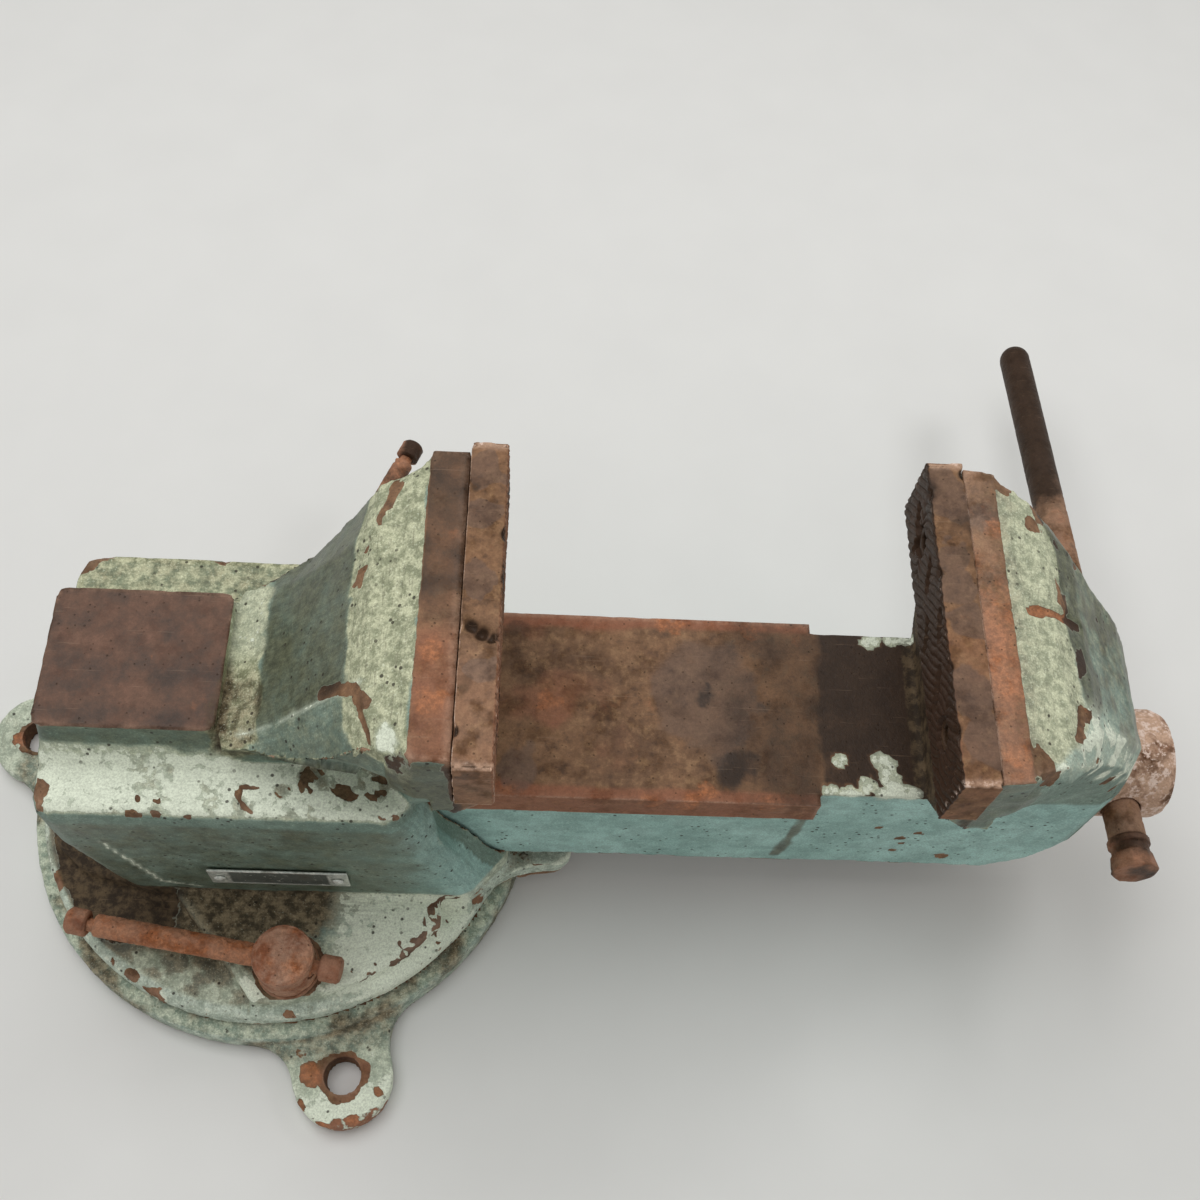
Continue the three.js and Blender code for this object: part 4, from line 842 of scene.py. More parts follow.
# %% Block skin
def block_skin(counts):
    """Lattice places on the outside of a block of counts cells, and its outward faces."""
    size = np.array(counts) + 1
    place = np.stack(np.meshgrid(*[np.arange(n) for n in size], indexing="ij"), -1)
    outside = ((place == 0) | (place == size - 1)).any(-1)
    index = np.full(size, -1)
    index[outside] = np.arange(outside.sum())
    quads = []
    for axis in range(3):
        for last in (0, 1):
            sheet = np.take(index, -last, axis=axis)
            a, b, c, d = sheet[:-1, :-1], sheet[1:, :-1], sheet[1:, 1:], sheet[:-1, 1:]
            turn = (a, b, c, d) if last == (axis != 1) else (a, d, c, b)
            quads.append(np.stack([side.ravel() for side in turn], 1))
    return place[outside], np.vstack(quads)


def rounded_block(points, low, high, radius):
    """The block's points with its edges rounded by the formula above."""
    core = np.clip(points, np.array(low) + radius, np.array(high) - radius)
    out = points - core
    length = np.linalg.norm(out, axis=1)
    return core + out * (radius / np.maximum(length, 1e-9))[:, None]


# %% [markdown]
# ## Jaw plates
# The gripping face carries two families of diagonal grooves: height = min(|2*frac(u) - 1|,
# |2*frac(v) - 1|), where u and v count grooves along y + z and y - z. On the moving plate one family
# is nearly worn away and the other has become wavy scallops, with gouges. Rings of the grid round
# each screw are drawn into circles to make the round recesses.

# %% Jaw plates
PLATE_LENGTH, PLATE_HEIGHT, PLATE_THICK = 152.4, 38.8, 17.0
PLATE_BOTTOM = 213.7
RECESS_RADIUS, RECESS_DEPTH = 7.8, 9.3
SCREW_Y, SCREW_Z = 46.0, 233.1
RECESS_RINGS, BLEND_RINGS = 13, 24
FIXED_FACE, MOVING_FACE = 119.4, 301.8
MOVING_GOUGES = [
    ([(301.8, 62, 236), (301.8, 52, 229), (301.8, 49, 222)], 3.2, 2.6),
    ([(301.8, 30, 243), (301.8, 22, 234)], 3, 1.8), ([(301.8, 2, 248), (301.8, -6, 243)], 3.5, 2.6),
    ([(301.8, -20, 238), (301.8, -31, 226)], 3, 1.6), ([(301.8, -62, 244), (301.8, -68, 234)], 3, 1.8),
    ([(301.8, 8, 230), (301.8, -2, 221)], 2.6, 1.5),
]
FIXED_DENTS = [
    (107.2, -13.6, 252.5, 2.8, 3.6), (111.4, -16.4, 252.5, 3.3, 5.2), (115.4, -18.4, 252.5, 2.7, 3.4),
    (119.4, 30, 252, 2.5, 1), (102.4, -60, 252, 2.4, 1.2),
]
MOVING_DENTS = [
    (301.8, 20, 252, 2.5, 1.4), (301.8, -52, 251, 3, 1.6), (301.8, -24, 252, 2.2, 1.2),
    (301.8, 60, 252, 2.5, 1.3), (318.8, 70, 252, 2.5, 1.5), (318.8, -70, 250, 2, 1),
]
FIXED_STAINS = [(108, 40, 252.5, 10), (107, 8, 252.5, 9), (112, -34, 252.5, 8), (109, 62, 252.5, 10)]
MOVING_STAINS = [
    (309, 67, 252.5, 9), (310.5, 54, 252.5, 11), (309.8, 27, 252.5, 9), (311, 12, 252.5, 11),
    (312, -3, 252.5, 10), (311, -36, 252.5, 13), (313, -58, 252.5, 12), (314, -48, 252.5, 7),
]
PLATE_CELLS = (28, 254, 64)


def grooved(points, pitch, second, wave):
    """The formula above: 1 on a ridge, 0 in a groove. `second` is how far the second family of
    grooves is worn away, and `wave` how far in mm noise bends the grooves."""
    y, z = points[:, 1], points[:, 2]
    u = (y + z + wave * (layered(points, 14, 5) - 0.5)) / (pitch * math.sqrt(2))
    v = (y - z + wave * (layered(points, 14, 6) - 0.5)) / (pitch * math.sqrt(2))
    first_ridge, second_ridge = np.abs(2 * (u % 1) - 1), np.abs(2 * (v % 1) - 1)
    return np.minimum(first_ridge, second + (1 - second) * second_ridge)


def draw_recesses(points, place, front, low, step):
    """Draws the rings of grid places round each screw into circles. True on a recess's floor."""
    floor = np.zeros(len(points), bool)
    for side in (-1, 1):
        middle = np.array([round((side * SCREW_Y - low[1]) / step[1]), PLATE_CELLS[2] / 2])
        away = place[:, 1:] - middle
        ring = np.abs(away).max(1)
        unit = away / np.maximum(np.linalg.norm(away, axis=1), 1e-9)[:, None]
        inside = np.minimum(ring / (RECESS_RINGS - 1), 1) * (RECESS_RADIUS - 0.08)
        radius = np.where(ring >= RECESS_RINGS, ring * RECESS_RADIUS / RECESS_RINGS, inside)
        circle = np.array([side * SCREW_Y, SCREW_Z]) + unit * radius[:, None]
        keep = smoothstep(ring, RECESS_RINGS, BLEND_RINGS)[:, None]
        drawn = circle * (1 - keep) + points[:, 1:] * keep
        points[:, 1:] = np.where((front & (ring < BLEND_RINGS))[:, None], drawn, points[:, 1:])
        floor |= front & (ring < RECESS_RINGS)
    return floor


def jaw_plate(name, face, facing, pitch, depth, second, wave, gouges, dents, stains, tint):
    """A plate whose gripping face stands at x = face and looks along X (facing 1) or back (-1)."""
    place, quads = block_skin(PLATE_CELLS)
    back = face - facing * PLATE_THICK
    low = np.array([min(face, back), -PLATE_LENGTH / 2, PLATE_BOTTOM])
    high = np.array([max(face, back), PLATE_LENGTH / 2, PLATE_BOTTOM + PLATE_HEIGHT])
    step = (high - low) / np.array(PLATE_CELLS)
    points = rounded_block(low + place * step, low, high, 0.9)
    front = place[:, 0] == (PLATE_CELLS[0] if facing > 0 else 0)
    worn = np.minimum(grooved(points, pitch, second, wave) * 1.4, 0.62 + 0.38 * layered(points, 9, 7))
    near_face = 1 - smoothstep(np.abs(points[:, 0] - face), 0.0, 1.8)
    cut = depth * (1 - worn) * near_face
    for line, width, deep in gouges:
        cut = cut + deep * stroke(points, line, width) * near_face
    floor = draw_recesses(points, place, front, low, step)
    points[:, 0] -= facing * np.where(floor, RECESS_DEPTH, cut)

    # Worn edges and dents
    core = (low + high) / 2
    reached = np.sort(np.abs((points - core) / (high - low)), axis=1)
    edge = smoothstep(reached[:, 1], 0.462, 0.497)
    inward = edge * 1.1 * patches(points, 5, 8, 0.45, 0.8)
    inward = (inward + 0.16 * (1 - layered(points, 7, 9))) * ~floor
    direction = np.sign(points - core) * (np.abs(points - core) > (high - low) / 2 - 1.7)
    points = points - direction * inward[:, None]
    dent = np.zeros(len(points))
    for px, py, pz, radius, deep in dents:
        fall = np.exp(-((np.linalg.norm(points - np.array([px, py, pz]), axis=1) / radius) ** 2))
        dent = np.maximum(dent, fall)
        points = points - direction * (fall * deep * ~floor)[:, None]

    on_face = near_face * ~floor
    near_end = smoothstep(-wandered(points, 9, 14, 13)[:, 1], -10, 40)
    rubbed = near_end * (facing > 0)
    # Dents and recess floors are darkened, partly as painted shade in the hollows, and the worn edges and the
    # rubbed near end get painted glints.
    looks = dict(
        bare=1.0, chalk=0.0, soil=0.0, blue=0.0, white=0.0,
        plum=0.12 + 1.2 * spots(points, stains, 20) + 0.3 * patches(points, 22, 10, 0.55, 0.75),
        oil=1.7 * dent + 1.3 * floor + tint * on_face + 0.6 * patches(points, 15, 11, 0.66, 0.82),
        orange=0.3 * patches(points, 12, 12, 0.55, 0.8) * ~floor + 0.25 * near_face * rubbed,
        red=0.3 * on_face + 0.1 + 0.2 * near_end, polish=0.1 + 0.7 * edge + 0.12 * rubbed)
    return faced_outwards(object_from(name, points, quads, looks=looks))


fixed_plate = jaw_plate(
    "fixed_jaw_plate_worn", FIXED_FACE, 1, pitch=3.7, depth=1.0, second=0.0, wave=0.8, gouges=[],
    dents=FIXED_DENTS, stains=FIXED_STAINS, tint=0.4)
stands_for(fixed_plate, "body", "worn_iron", "fixed_jaw_plate")
moving_plate = jaw_plate(
    "moving_jaw_plate_worn", MOVING_FACE, -1, pitch=3.9, depth=0.9, second=0.7, wave=4.5,
    gouges=MOVING_GOUGES, dents=MOVING_DENTS, stains=MOVING_STAINS, tint=1.1)
stands_for(moving_plate, "slide", "worn_iron", "moving_jaw_plate")

# %% [markdown]
# ## Turned pieces
# A turned piece is a radius for each place along an axis. Its ring is
# (along, r*cos(a), r*sin(a)), carried to where the piece lies by two directions across the axis.

# %% Turned pieces
UPRIGHT = 0.9


def lathe(along, radius, count, shape=None):
    """Rings of a turned form along its own X axis; shape(along, angle) changes the radius."""
    along, radius = np.asarray(along, float), np.asarray(radius, float)
    angle = np.linspace(0, 2 * math.pi, count, endpoint=False)
    grid_x, grid_a = np.meshgrid(along, angle, indexing="ij")
    grid_r = np.broadcast_to(radius[:, None], grid_x.shape)
    if shape is not None:
        grid_r = shape(grid_x, grid_a, grid_r)
    return np.stack([grid_x, grid_r * np.cos(grid_a), grid_r * np.sin(grid_a)], -1)


def placed(rings, origin, axis):
    """The rings with their X axis turned to `axis` and their zero moved to `origin`. The directions
    across it come from Z, or from X for an upright axis, which has no direction across from Z."""
    axis = np.array(axis, float) / np.linalg.norm(axis)
    across = (0, 0, 1) if abs(axis[2]) < UPRIGHT else (1, 0, 0)
    side = np.cross(across, axis)
    side = side / np.linalg.norm(side)
    return np.array(origin) + rings @ np.stack([axis, side, np.cross(axis, side)])


def profile(corners, step):
    """Places along and radii of a profile of (along, radius) corners, filled in every step mm.
    Each corner stays where it is, so steps in the profile keep sharp."""
    along, radius = [corners[0][0]], [corners[0][1]]
    for (x0, r0), (x1, r1) in zip(corners[:-1], corners[1:]):
        parts = max(1, math.ceil(math.hypot(x1 - x0, r1 - r0) / step))
        share = np.arange(1, parts + 1) / parts
        along.extend(x0 + share * (x1 - x0))
        radius.extend(r0 + share * (r1 - r0))
    return np.array(along), np.array(radius)


def rust_skin(points, seed, depth=0.35, size=5):
    """How far rust has eaten in: broad hollows, fine grain and a few sharper pits, in mm."""
    pits = patches(points, size * 0.7, seed, 0.66, 0.82)
    hollows = 0.5 * (1 - layered(points, size, seed + 1))
    return depth * (hollows + 0.3 * (1 - noise(points, 1.6, seed + 2)) + pits)


def rusted_looks(points, seed, orange=0.3, oil=0.3, red=0.6, polish=0.3):
    """The looks of bare rusty iron, in patches."""
    return dict(
        orange=orange + 0.35 * patches(points, 14, seed + 5, 0.5, 0.8),
        oil=oil * (0.3 + 0.7 * patches(points, 20, seed + 6, 0.4, 0.75)), red=red,
        plum=0.15 + 0.3 * patches(points, 16, seed + 7, 0.5, 0.7), polish=polish)


def turned_piece(name, corners, origin, axis, count=48, step=1.2, seed=100, depth=0.3, orange=0.3,
                 oil=0.3, red=0.6, shape=None, loop=False):
    """A rusty turned piece from its profile's corners, lying along `axis` from `origin`."""
    along, radius = profile(corners, step)
    rings = lathe(along, radius, count, shape)
    flat = placed(rings, origin, axis).reshape(-1, 3)
    eaten = rust_skin(flat, seed, depth).reshape(rings.shape[:2])
    unit = rings[..., 1:] / np.maximum(np.linalg.norm(rings[..., 1:], axis=-1, keepdims=True), 1e-9)
    inner = (radius <= 0).reshape(-1, 1)
    rings[..., 1:] -= unit * np.where(inner, 0, eaten)[..., None]
    points, quads, tris = tube(placed(rings, origin, axis), loop)
    looks = rusted_looks(points, seed, orange, oil, red)
    return faced_outwards(object_from(name, points, quads, tris, looks))


# %% [markdown]
# ## Main screw
# The screw runs through the sliding jaw into the main nut, and its head carries the handle. A thread
# is a radius that depends on the place along and the angle round, so it is turned from a formula.
# The head has a cross hole, which no such formula gives, so it is a dense skin, with a lighter rubbed colour
# and painted glints that are strongest on its rim.

# %% Main screw
SCREW_HEIGHT = 97.5
THREAD_PITCH, THREAD_DEPTH, CREST_RADIUS = 6.35, 2.6, 15.4
SHANK_END, HEAD_CUT = 417.4, 410


def threaded(x, angle, radius):
    """A square-shouldered thread: the share of a pitch reached at x and angle picks crest or root."""
    turn = (x / THREAD_PITCH - angle / (2 * math.pi)) % 1
    crest = smoothstep(np.abs(2 * turn - 1), 0.38, 0.58)
    run_out = smoothstep(x, 20, 26) * (1 - smoothstep(x, 366, 372))
    return radius - THREAD_DEPTH * (1 - crest) * run_out


thread = turned_piece(
    "main_screw_thread",
    [(20, 11), (22, 13.4), (24, CREST_RADIUS), (372, CREST_RADIUS), (SHANK_END, CREST_RADIUS)],
    (0, 0, SCREW_HEIGHT), (1, 0, 0), count=44, step=0.75, seed=110, depth=0.12, orange=0.1, oil=0.9,
    shape=threaded)
stands_for(thread, "screw", "rusted_steel")
screw_head = dense_skin("main_screw_head", "main_screw", 0.85, beyond_x=HEAD_CUT)
head_points = softened(points_of(screw_head.data), edges_of(screw_head.data), 2)
set_points(screw_head.data, head_points)
head_normals = normals_of(screw_head.data)
head_outer = edge_measure(head_points, head_normals, edges_of(screw_head.data), 10)[0]
head_out = smoothstep(np.hypot(head_points[:, 1], head_points[:, 2] - SCREW_HEIGHT), 24, 27.5)
head_worn = rust_skin(head_points, 120, 0.3, 7) + 0.5 * head_outer * layered(head_points, 6, 121)
set_points(screw_head.data, head_points - head_normals * head_worn[:, None])
# High polish gives the head a lighter rubbed colour and painted glints over it, most on its rim.
set_looks(screw_head.data, dict(
    rusted_looks(head_points, 120, 0.15, 0.12, 0.4), plum=0.1, polish=0.85 + 0.15 * head_out))
stands_for(screw_head, "screw", "rusted_steel", "main_screw")

# %% [markdown]
# ## Handle bar and its cap
# The bar slides through the screw's head. Its far end is plain and domed, black with old grease from
# the hand, and its near end carries a pressed-on cap with a neck, a collar and eight soft flats.

# %% Handle bar and its cap
HANDLE_X, HANDLE_TILT = 432.6, math.radians(7.4)
HANDLE_AXIS = (0, -math.cos(HANDLE_TILT), math.sin(HANDLE_TILT))
HANDLE_NEAR, HANDLE_LENGTH, HANDLE_RADIUS = 62.0, 362.0, 9.3
CAP_RADIUS, CAP_LENGTH = 11.5, 18.0
handle_origin = (HANDLE_X, 0, SCREW_HEIGHT)
far_end = HANDLE_NEAR - HANDLE_LENGTH
dome = [(far_end + HANDLE_RADIUS * (1 - math.cos(t)), HANDLE_RADIUS * math.sin(t))
        for t in np.linspace(0.08, math.pi / 2, 9)]
handle_bar = turned_piece(
    "handle_bar_worn",
    dome + [(HANDLE_NEAR - CAP_LENGTH, HANDLE_RADIUS), (HANDLE_NEAR - CAP_LENGTH, 6), (HANDLE_NEAR - 7.3, 6)],
    handle_origin, HANDLE_AXIS, count=48, step=1.0, seed=130, depth=0.3, orange=0.12, oil=0.3, red=0.3)
handle_points = points_of(handle_bar.data)
far_share = smoothstep(wandered(handle_points, 22, 26, 410)[:, 1], 120, 205)
dark = np.clip(1.15 * far_share + 0.25 * patches(handle_points, 20, 136, 0.5, 0.75), 0, 1.2)
handle_bar.data.attributes["oil"].data.foreach_set("value", dark.astype(np.float32))
stands_for(handle_bar, "handle", "rusted_steel", "handle_bar")


def faceted(x, angle, radius):
    """Eight soft flats on the widening part of the cap."""
    flat = math.cos(math.pi / 8) / np.cos((angle + math.pi / 8) % (math.pi / 4) - math.pi / 8)
    share = smoothstep(x, HANDLE_NEAR - CAP_LENGTH + 8, HANDLE_NEAR - CAP_LENGTH + 10)
    return radius * (1 - 0.7 * share * (1 - flat))


cap_low = HANDLE_NEAR - CAP_LENGTH + 0.3
handle_cap = turned_piece(
    "handle_cap_worn", [
        (cap_low + 11, 0.4), (cap_low + 11, 6.04), (cap_low, 6.04), (cap_low, 9.6), (cap_low + 0.8, 10.4),
        (cap_low + 3.6, 10.4), (cap_low + 4.2, 9.3), (cap_low + 7.8, 9.3), (cap_low + 8.8, 10.2),
        (HANDLE_NEAR - 0.8, CAP_RADIUS), (HANDLE_NEAR, CAP_RADIUS - 0.5), (HANDLE_NEAR, 0.4)],
    handle_origin, HANDLE_AXIS, count=64, step=0.8, seed=140, depth=0.25, orange=0.2, oil=0.8, shape=faceted)
stands_for(handle_cap, "handle", "rusted_steel", "handle_cap")

# %% [markdown]
# ## Lock screws and their sliding bars
# Each bar lies level through its screw's head and has a neck and a cap at both ends. The near one
# points back along the vise and the far one out to the side, as in the photograph.

# %% Lock screws and bars
LOCK_BAR_Z = 55.1
LOCK_BAR_LENGTH, LOCK_BAR_RADIUS, LOCK_CAP_RADIUS = 139.0, 6.0, 6.8
LOCK_CAP_LENGTH, LOCK_NECK_RADIUS, LOCK_NECK_LENGTH = 11.0, 4.0, 3.0
LOCK_BAR_OFFSET = 41.0


def lock_bar(side, body, place, angle, seed, darkness):
    """The bar, and its two caps, which are drawn on tenons at its ends."""
    axis = (math.cos(angle), math.sin(angle), 0)
    centre = np.array([*place, LOCK_BAR_Z]) + LOCK_BAR_OFFSET * np.array(axis)
    half = LOCK_BAR_LENGTH / 2
    body_half, tip = half - LOCK_CAP_LENGTH - LOCK_NECK_LENGTH, half - LOCK_CAP_LENGTH + 7
    bar = turned_piece(
        f"{side}_lock_bar_worn", [
            (-tip, 0.4), (-tip, LOCK_NECK_RADIUS), (-body_half - 0.4, LOCK_NECK_RADIUS),
            (-body_half, 5.2), (-body_half + 0.8, LOCK_BAR_RADIUS), (body_half - 0.8, LOCK_BAR_RADIUS),
            (body_half, 5.2), (body_half + 0.4, LOCK_NECK_RADIUS), (tip, LOCK_NECK_RADIUS), (tip, 0.4)],
        centre, axis, count=40, step=0.8, seed=seed, depth=0.75, orange=0.75, oil=darkness, red=0.8)
    stands_for(bar, body, "rusted_steel", f"{side}_lock_bar")
    for end, label in ((1, "outer"), (-1, "inner")):
        start = half - LOCK_CAP_LENGTH + 0.3
        cap = turned_piece(
            f"{side}_lock_bar_{label}_cap_worn", [
                (start + 7, 0.4), (start + 7, 4.04), (start, 4.04), (start, 5.6),
                (start + 0.9, LOCK_CAP_RADIUS), (half - 1.4, LOCK_CAP_RADIUS), (half, 5.6), (half, 0.4)],
            centre, (end * axis[0], end * axis[1], 0), count=40, step=0.7, seed=seed + 7, depth=0.5,
            orange=0.22, oil=darkness, red=0.85)
        stands_for(cap, body, "rusted_steel", f"{side}_lock_bar_{label}_cap")


def lock_screw(side, body, place, seed):
    """The screw's dense skin, its top slightly crowned and ringed by a shallow groove."""
    made = dense_skin(f"{side}_lock_screw_worn", f"{side}_lock_screw", 0.8)
    mesh = made.data
    points = softened(points_of(mesh), edges_of(mesh), 2)
    set_points(mesh, points)
    normals = normals_of(mesh)
    outer = edge_measure(points, normals, edges_of(mesh), 10)[0]
    away = np.hypot(points[:, 0] - place[0], points[:, 1] - place[1])
    top = (points[:, 2] > 66.4) * (normals[:, 2] > 0.5)
    crown = 1.3 * (away / 15.25) ** 2 + 0.45 * np.exp(-(((away - 11.3) / 0.8) ** 2))
    eaten = rust_skin(points, seed, 0.4, 6) + 0.5 * outer * layered(points, 5, seed + 3)
    moved = points - normals * eaten[:, None]
    moved[:, 2] -= top * crown
    set_points(mesh, moved)
    set_looks(mesh, rusted_looks(points, seed, 0.5, 0.05, 0.95, 0.4))
    stands_for(made, body, "rusted_steel", f"{side}_lock_screw")


def lock_washer(side, place, seed):
    """The washer under the screw's head, a ring with a closed section."""
    ring = turned_piece(
        f"{side}_lock_washer_worn", [
            (39.3, 8.4), (39.3, 15.4), (39.8, 16), (41.8, 16), (42.3, 15.4), (42.3, 8.4),
            (41, 8.4), (40, 8.4)],
        (*place, 0), (0, 0, 1), count=56, step=0.8, seed=seed, depth=0.3, orange=0.4, oil=0.3, loop=True)
    stands_for(ring, "body", "rusted_steel", f"{side}_lock_washer")


for side, place, angle, seed, darkness in (("near", LOCK_PLACES[0], math.radians(171), 150, 0.05),
                                           ("far", LOCK_PLACES[1], math.radians(68.5), 170, 0.9)):
    lock_screw(side, f"{side}_lock", place, seed)
    lock_bar(side, f"{side}_bar", place, angle, seed + 1, darkness)
    lock_washer(side, place, seed + 12)

# %% [markdown]
# ## Washer behind the screw's head
# It takes the thrust when the vise is tightened. Only its edge shows, in the gap at the nose.

# %% Washer behind the screw's head
thrust = turned_piece(
    "thrust_washer_worn", [
        (414.3, 16.5), (414.3, 25.4), (414.8, 26), (416.8, 26), (417.3, 25.4), (417.3, 16.5), (416, 16.5)],
    (0, 0, SCREW_HEIGHT), (1, 0, 0), count=56, step=0.8, seed=190, depth=0.2, orange=0.2, oil=0.6, loop=True)
stands_for(thrust, "slide", "worn_iron", "thrust_washer")

# %% [markdown]
# ## Jaw screws
# Four screws hold the plates. Each has a round head sunk below the gripping face, with a six-sided
# socket whose walls lie at r = R*cos(30)/cos(a), a being the angle from the middle of a flat. That
# needs no cutting tool: it is a turned piece whose inner radius follows the formula.

# %% Jaw screws
def socketed(start, depth):
    """The change of radius that makes a round socket of this depth six-sided."""
    def shape(x, angle, radius):
        flat = math.cos(math.pi / 6) / np.cos((angle + math.pi / 6) % (math.pi / 3) - math.pi / 6)
        inside = (radius <= 4.7) & (radius > 0.5) & (x <= start + depth + 0.01)
        return np.where(inside, radius * flat, radius)
    return shape


def jaw_screw(name, node, face, facing, y, body):
    start, depth = 2.0, 5.0
    corners = [
        (start + depth, 0.4), (start + depth, 4.6), (start, 4.6), (start, 7.0), (start + 0.5, 7.5), (9, 7.5),
        (9, 4.75), (45, 4.75), (45, 0.4)]
    # The heads lie deep in their recesses; their strong darkening is painted shade with some oil.
    made = turned_piece(
        name, corners, (face, y, SCREW_Z), (-facing, 0, 0), count=48, step=0.9, seed=200, depth=0.14,
        orange=0.0, oil=2.5, red=0.1, shape=socketed(start, depth))
    return stands_for(made, body, "rusted_steel", node)


for label, face, facing, body in (("fixed", FIXED_FACE, 1, "body"), ("moving", MOVING_FACE, -1, "slide")):
    for which, y in (("near", -SCREW_Y), ("far", SCREW_Y)):
        jaw_screw(f"{label}_jaw_screw_{which}_worn", f"{label}_jaw_screw_{which}", face, facing, y, body)

# %% [markdown]
# ## Nameplate
# A thin plate with a raised border round a plain sunk field, held by two domed rivets. The border is
# raised in the mesh itself, so it catches the light.

# %% Nameplate and rivets
PLATE_X, PLATE_Z = 11.2, 72.0
NAME_LENGTH, NAME_HEIGHT, NAME_THICK = 68.5, 19.5, 1.2
NAME_BACK = -BODY_HALF_WIDTH * 0.985 - 0.3
RIVET_INSET = 5.25


def name_plate():
    """The plate, with its sunk field and its border marked for the material."""
    cells = (114, 4, 34)
    place, quads = block_skin(cells)
    low = np.array([PLATE_X - NAME_LENGTH / 2, NAME_BACK - NAME_THICK, PLATE_Z - NAME_HEIGHT / 2])
    high = low + np.array([NAME_LENGTH, NAME_THICK, NAME_HEIGHT])
    points = rounded_block(low + place * (high - low) / np.array(cells), low, high, 0.3)
    from_side = NAME_LENGTH / 2 - np.abs(points[:, 0] - PLATE_X)
    from_top = NAME_HEIGHT / 2 - np.abs(points[:, 2] - PLATE_Z)
    front = place[:, 1] == 0
    field = smoothstep(np.minimum(from_side, from_top), 1.1, 1.8) * front
    ends = smoothstep(-from_side, -10.5, -9.8) * front
    field = field * (1 - ends)
    points[:, 1] += 0.35 * field + 0.08 * front * layered(points, 9, 210)
    looks = dict(field=field, edge=front * (1 - field))
    return faced_outwards(object_from("nameplate_blank", points, quads, looks=looks))


nameplate = name_plate()
stands_for(nameplate, "body", "nameplate_metal", "nameplate")
rivet_head = [(1.6 * math.sin(t), 3.2 * math.cos(t)) for t in np.linspace(0, math.pi / 2 - 0.12, 6)]
for which, x in (("rear", PLATE_X - NAME_LENGTH / 2 + RIVET_INSET),
                 ("front", PLATE_X + NAME_LENGTH / 2 - RIVET_INSET)):
    rivet = turned_piece(
        f"nameplate_rivet_{which}_domed", [(-7.8, 0.3), (-7.8, 1.2), (0, 1.2)] + rivet_head,
        (x, NAME_BACK - NAME_THICK - 0.3, PLATE_Z), (0, -1, 0), count=24, step=0.6, seed=220,
        depth=0.06, orange=0.0, oil=0.3)
    stands_for(rivet, "body", "nameplate_metal", f"nameplate_rivet_{which}")

# %% [markdown]
# ## Node groups
# A group only works out colours and values, and the shader stays in the material. Lengths inside
# a group are sizes in metres, so a noise of size s has the scale 1/s.

# %% Node helpers
def linear(red, green, blue):
    """A colour as seen on screen, 0 to 255, turned into the linear value that a shader takes."""
    values = np.array([red, green, blue]) / 255
    values = np.where(values <= 0.04045, values / 12.92, ((values + 0.055) / 1.055) ** 2.4)
    return (*values.tolist(), 1.0)


class Sheet:
    """Adds nodes to one tree and links whatever is handed over as a socket."""

    def __init__(self, tree):
        self.tree = tree
        self.count = 0

    def add(self, kind, inputs=None, out=0, **settings):
        """A node, five to a column, with its settings and inputs. Gives back one of its outputs."""
        made = self.tree.nodes.new(kind)
        made.location = (220 * (self.count // 5), -260 * (self.count % 5))
        self.count += 1
        for name, value in settings.items():
            setattr(made, name, value)
        for name, value in (inputs or {}).items():
            if isinstance(value, bpy.types.NodeSocket):
                self.tree.links.new(value, made.inputs[name])
            else:
                made.inputs[name].default_value = value
        return made.outputs[out] if len(made.outputs) else made

    def noise(self, vector, size, detail=3.0, rough=0.55):
        """Values round 0.5 whose hills are about `size` mm across."""
        return self.add("ShaderNodeTexNoise", {
            "Vector": vector, "Scale": 1 / (size * MM), "Detail": detail, "Roughness": rough})

    def cells(self, vector, size):
        """The distance to the nearest of many points strewn about `size` mm apart."""
        return self.add("ShaderNodeTexVoronoi", {"Vector": vector, "Scale": 1 / (size * MM)})

    def stretched(self, vector, scale, rotation=(0, 0, 0)):
        """The vector turned and scaled, so that noise on it runs out into lines."""
        return self.add("ShaderNodeMapping", {"Vector": vector, "Rotation": rotation, "Scale": scale})

    def math(self, operation, a, b, clamp):
        return self.add("ShaderNodeMath", {0: a, 1: b}, operation=operation, use_clamp=clamp)

    def times(self, a, b, clamp=False):
        return self.math("MULTIPLY", a, b, clamp)

    def plus(self, a, b):
        return self.math("ADD", a, b, False)

    def minus(self, a, b, clamp=False):
        return self.math("SUBTRACT", a, b, clamp)

    def ramp(self, value, start, end, low=0.0, high=1.0):
        """A smooth change from low at start to high at end."""
        return self.add("ShaderNodeMapRange", {
            "Value": value, "From Min": start, "From Max": end, "To Min": low, "To Max": high},
            interpolation_type="SMOOTHSTEP")

    def mix(self, share, a, b, blend="MIX"):
        """Colour a, with this share of colour b over it."""
        return self.add("ShaderNodeMix", {0: share, 6: a, 7: b}, 2, data_type="RGBA", blend_type=blend)

    def blend(self, share, a, b):
        """The same for two plain values."""
        return self.add("ShaderNodeMix", {"Factor": share, "A": a, "B": b})

    def tones(self, value, start, end, first, second):
        """A colour that runs from first to second, both given as seen on screen."""
        return self.mix(self.ramp(value, start, end), linear(*first), linear(*second))

    def give(self, sink, **results):
        """Links results to the group's outputs of the same names."""
        for name, value in results.items():
            self.tree.links.new(value, sink[name])
        print(f"{self.tree.name}: {len(self.tree.nodes)} nodes")


def group(name, inputs, outputs):
    """An empty node group with named sockets, and a sheet to draw on."""
    tree = bpy.data.node_groups.new(name, "ShaderNodeTree")
    for way, sockets in (("INPUT", inputs), ("OUTPUT", outputs)):
        for label, kind in sockets.items():
            tree.interface.new_socket(label, in_out=way, socket_type=kind)
    source, sink = tree.nodes.new("NodeGroupInput"), tree.nodes.new("NodeGroupOutput")
    source.location, sink.location = (-260, 0), (2400, 0)
    return Sheet(tree), source.outputs, sink.inputs


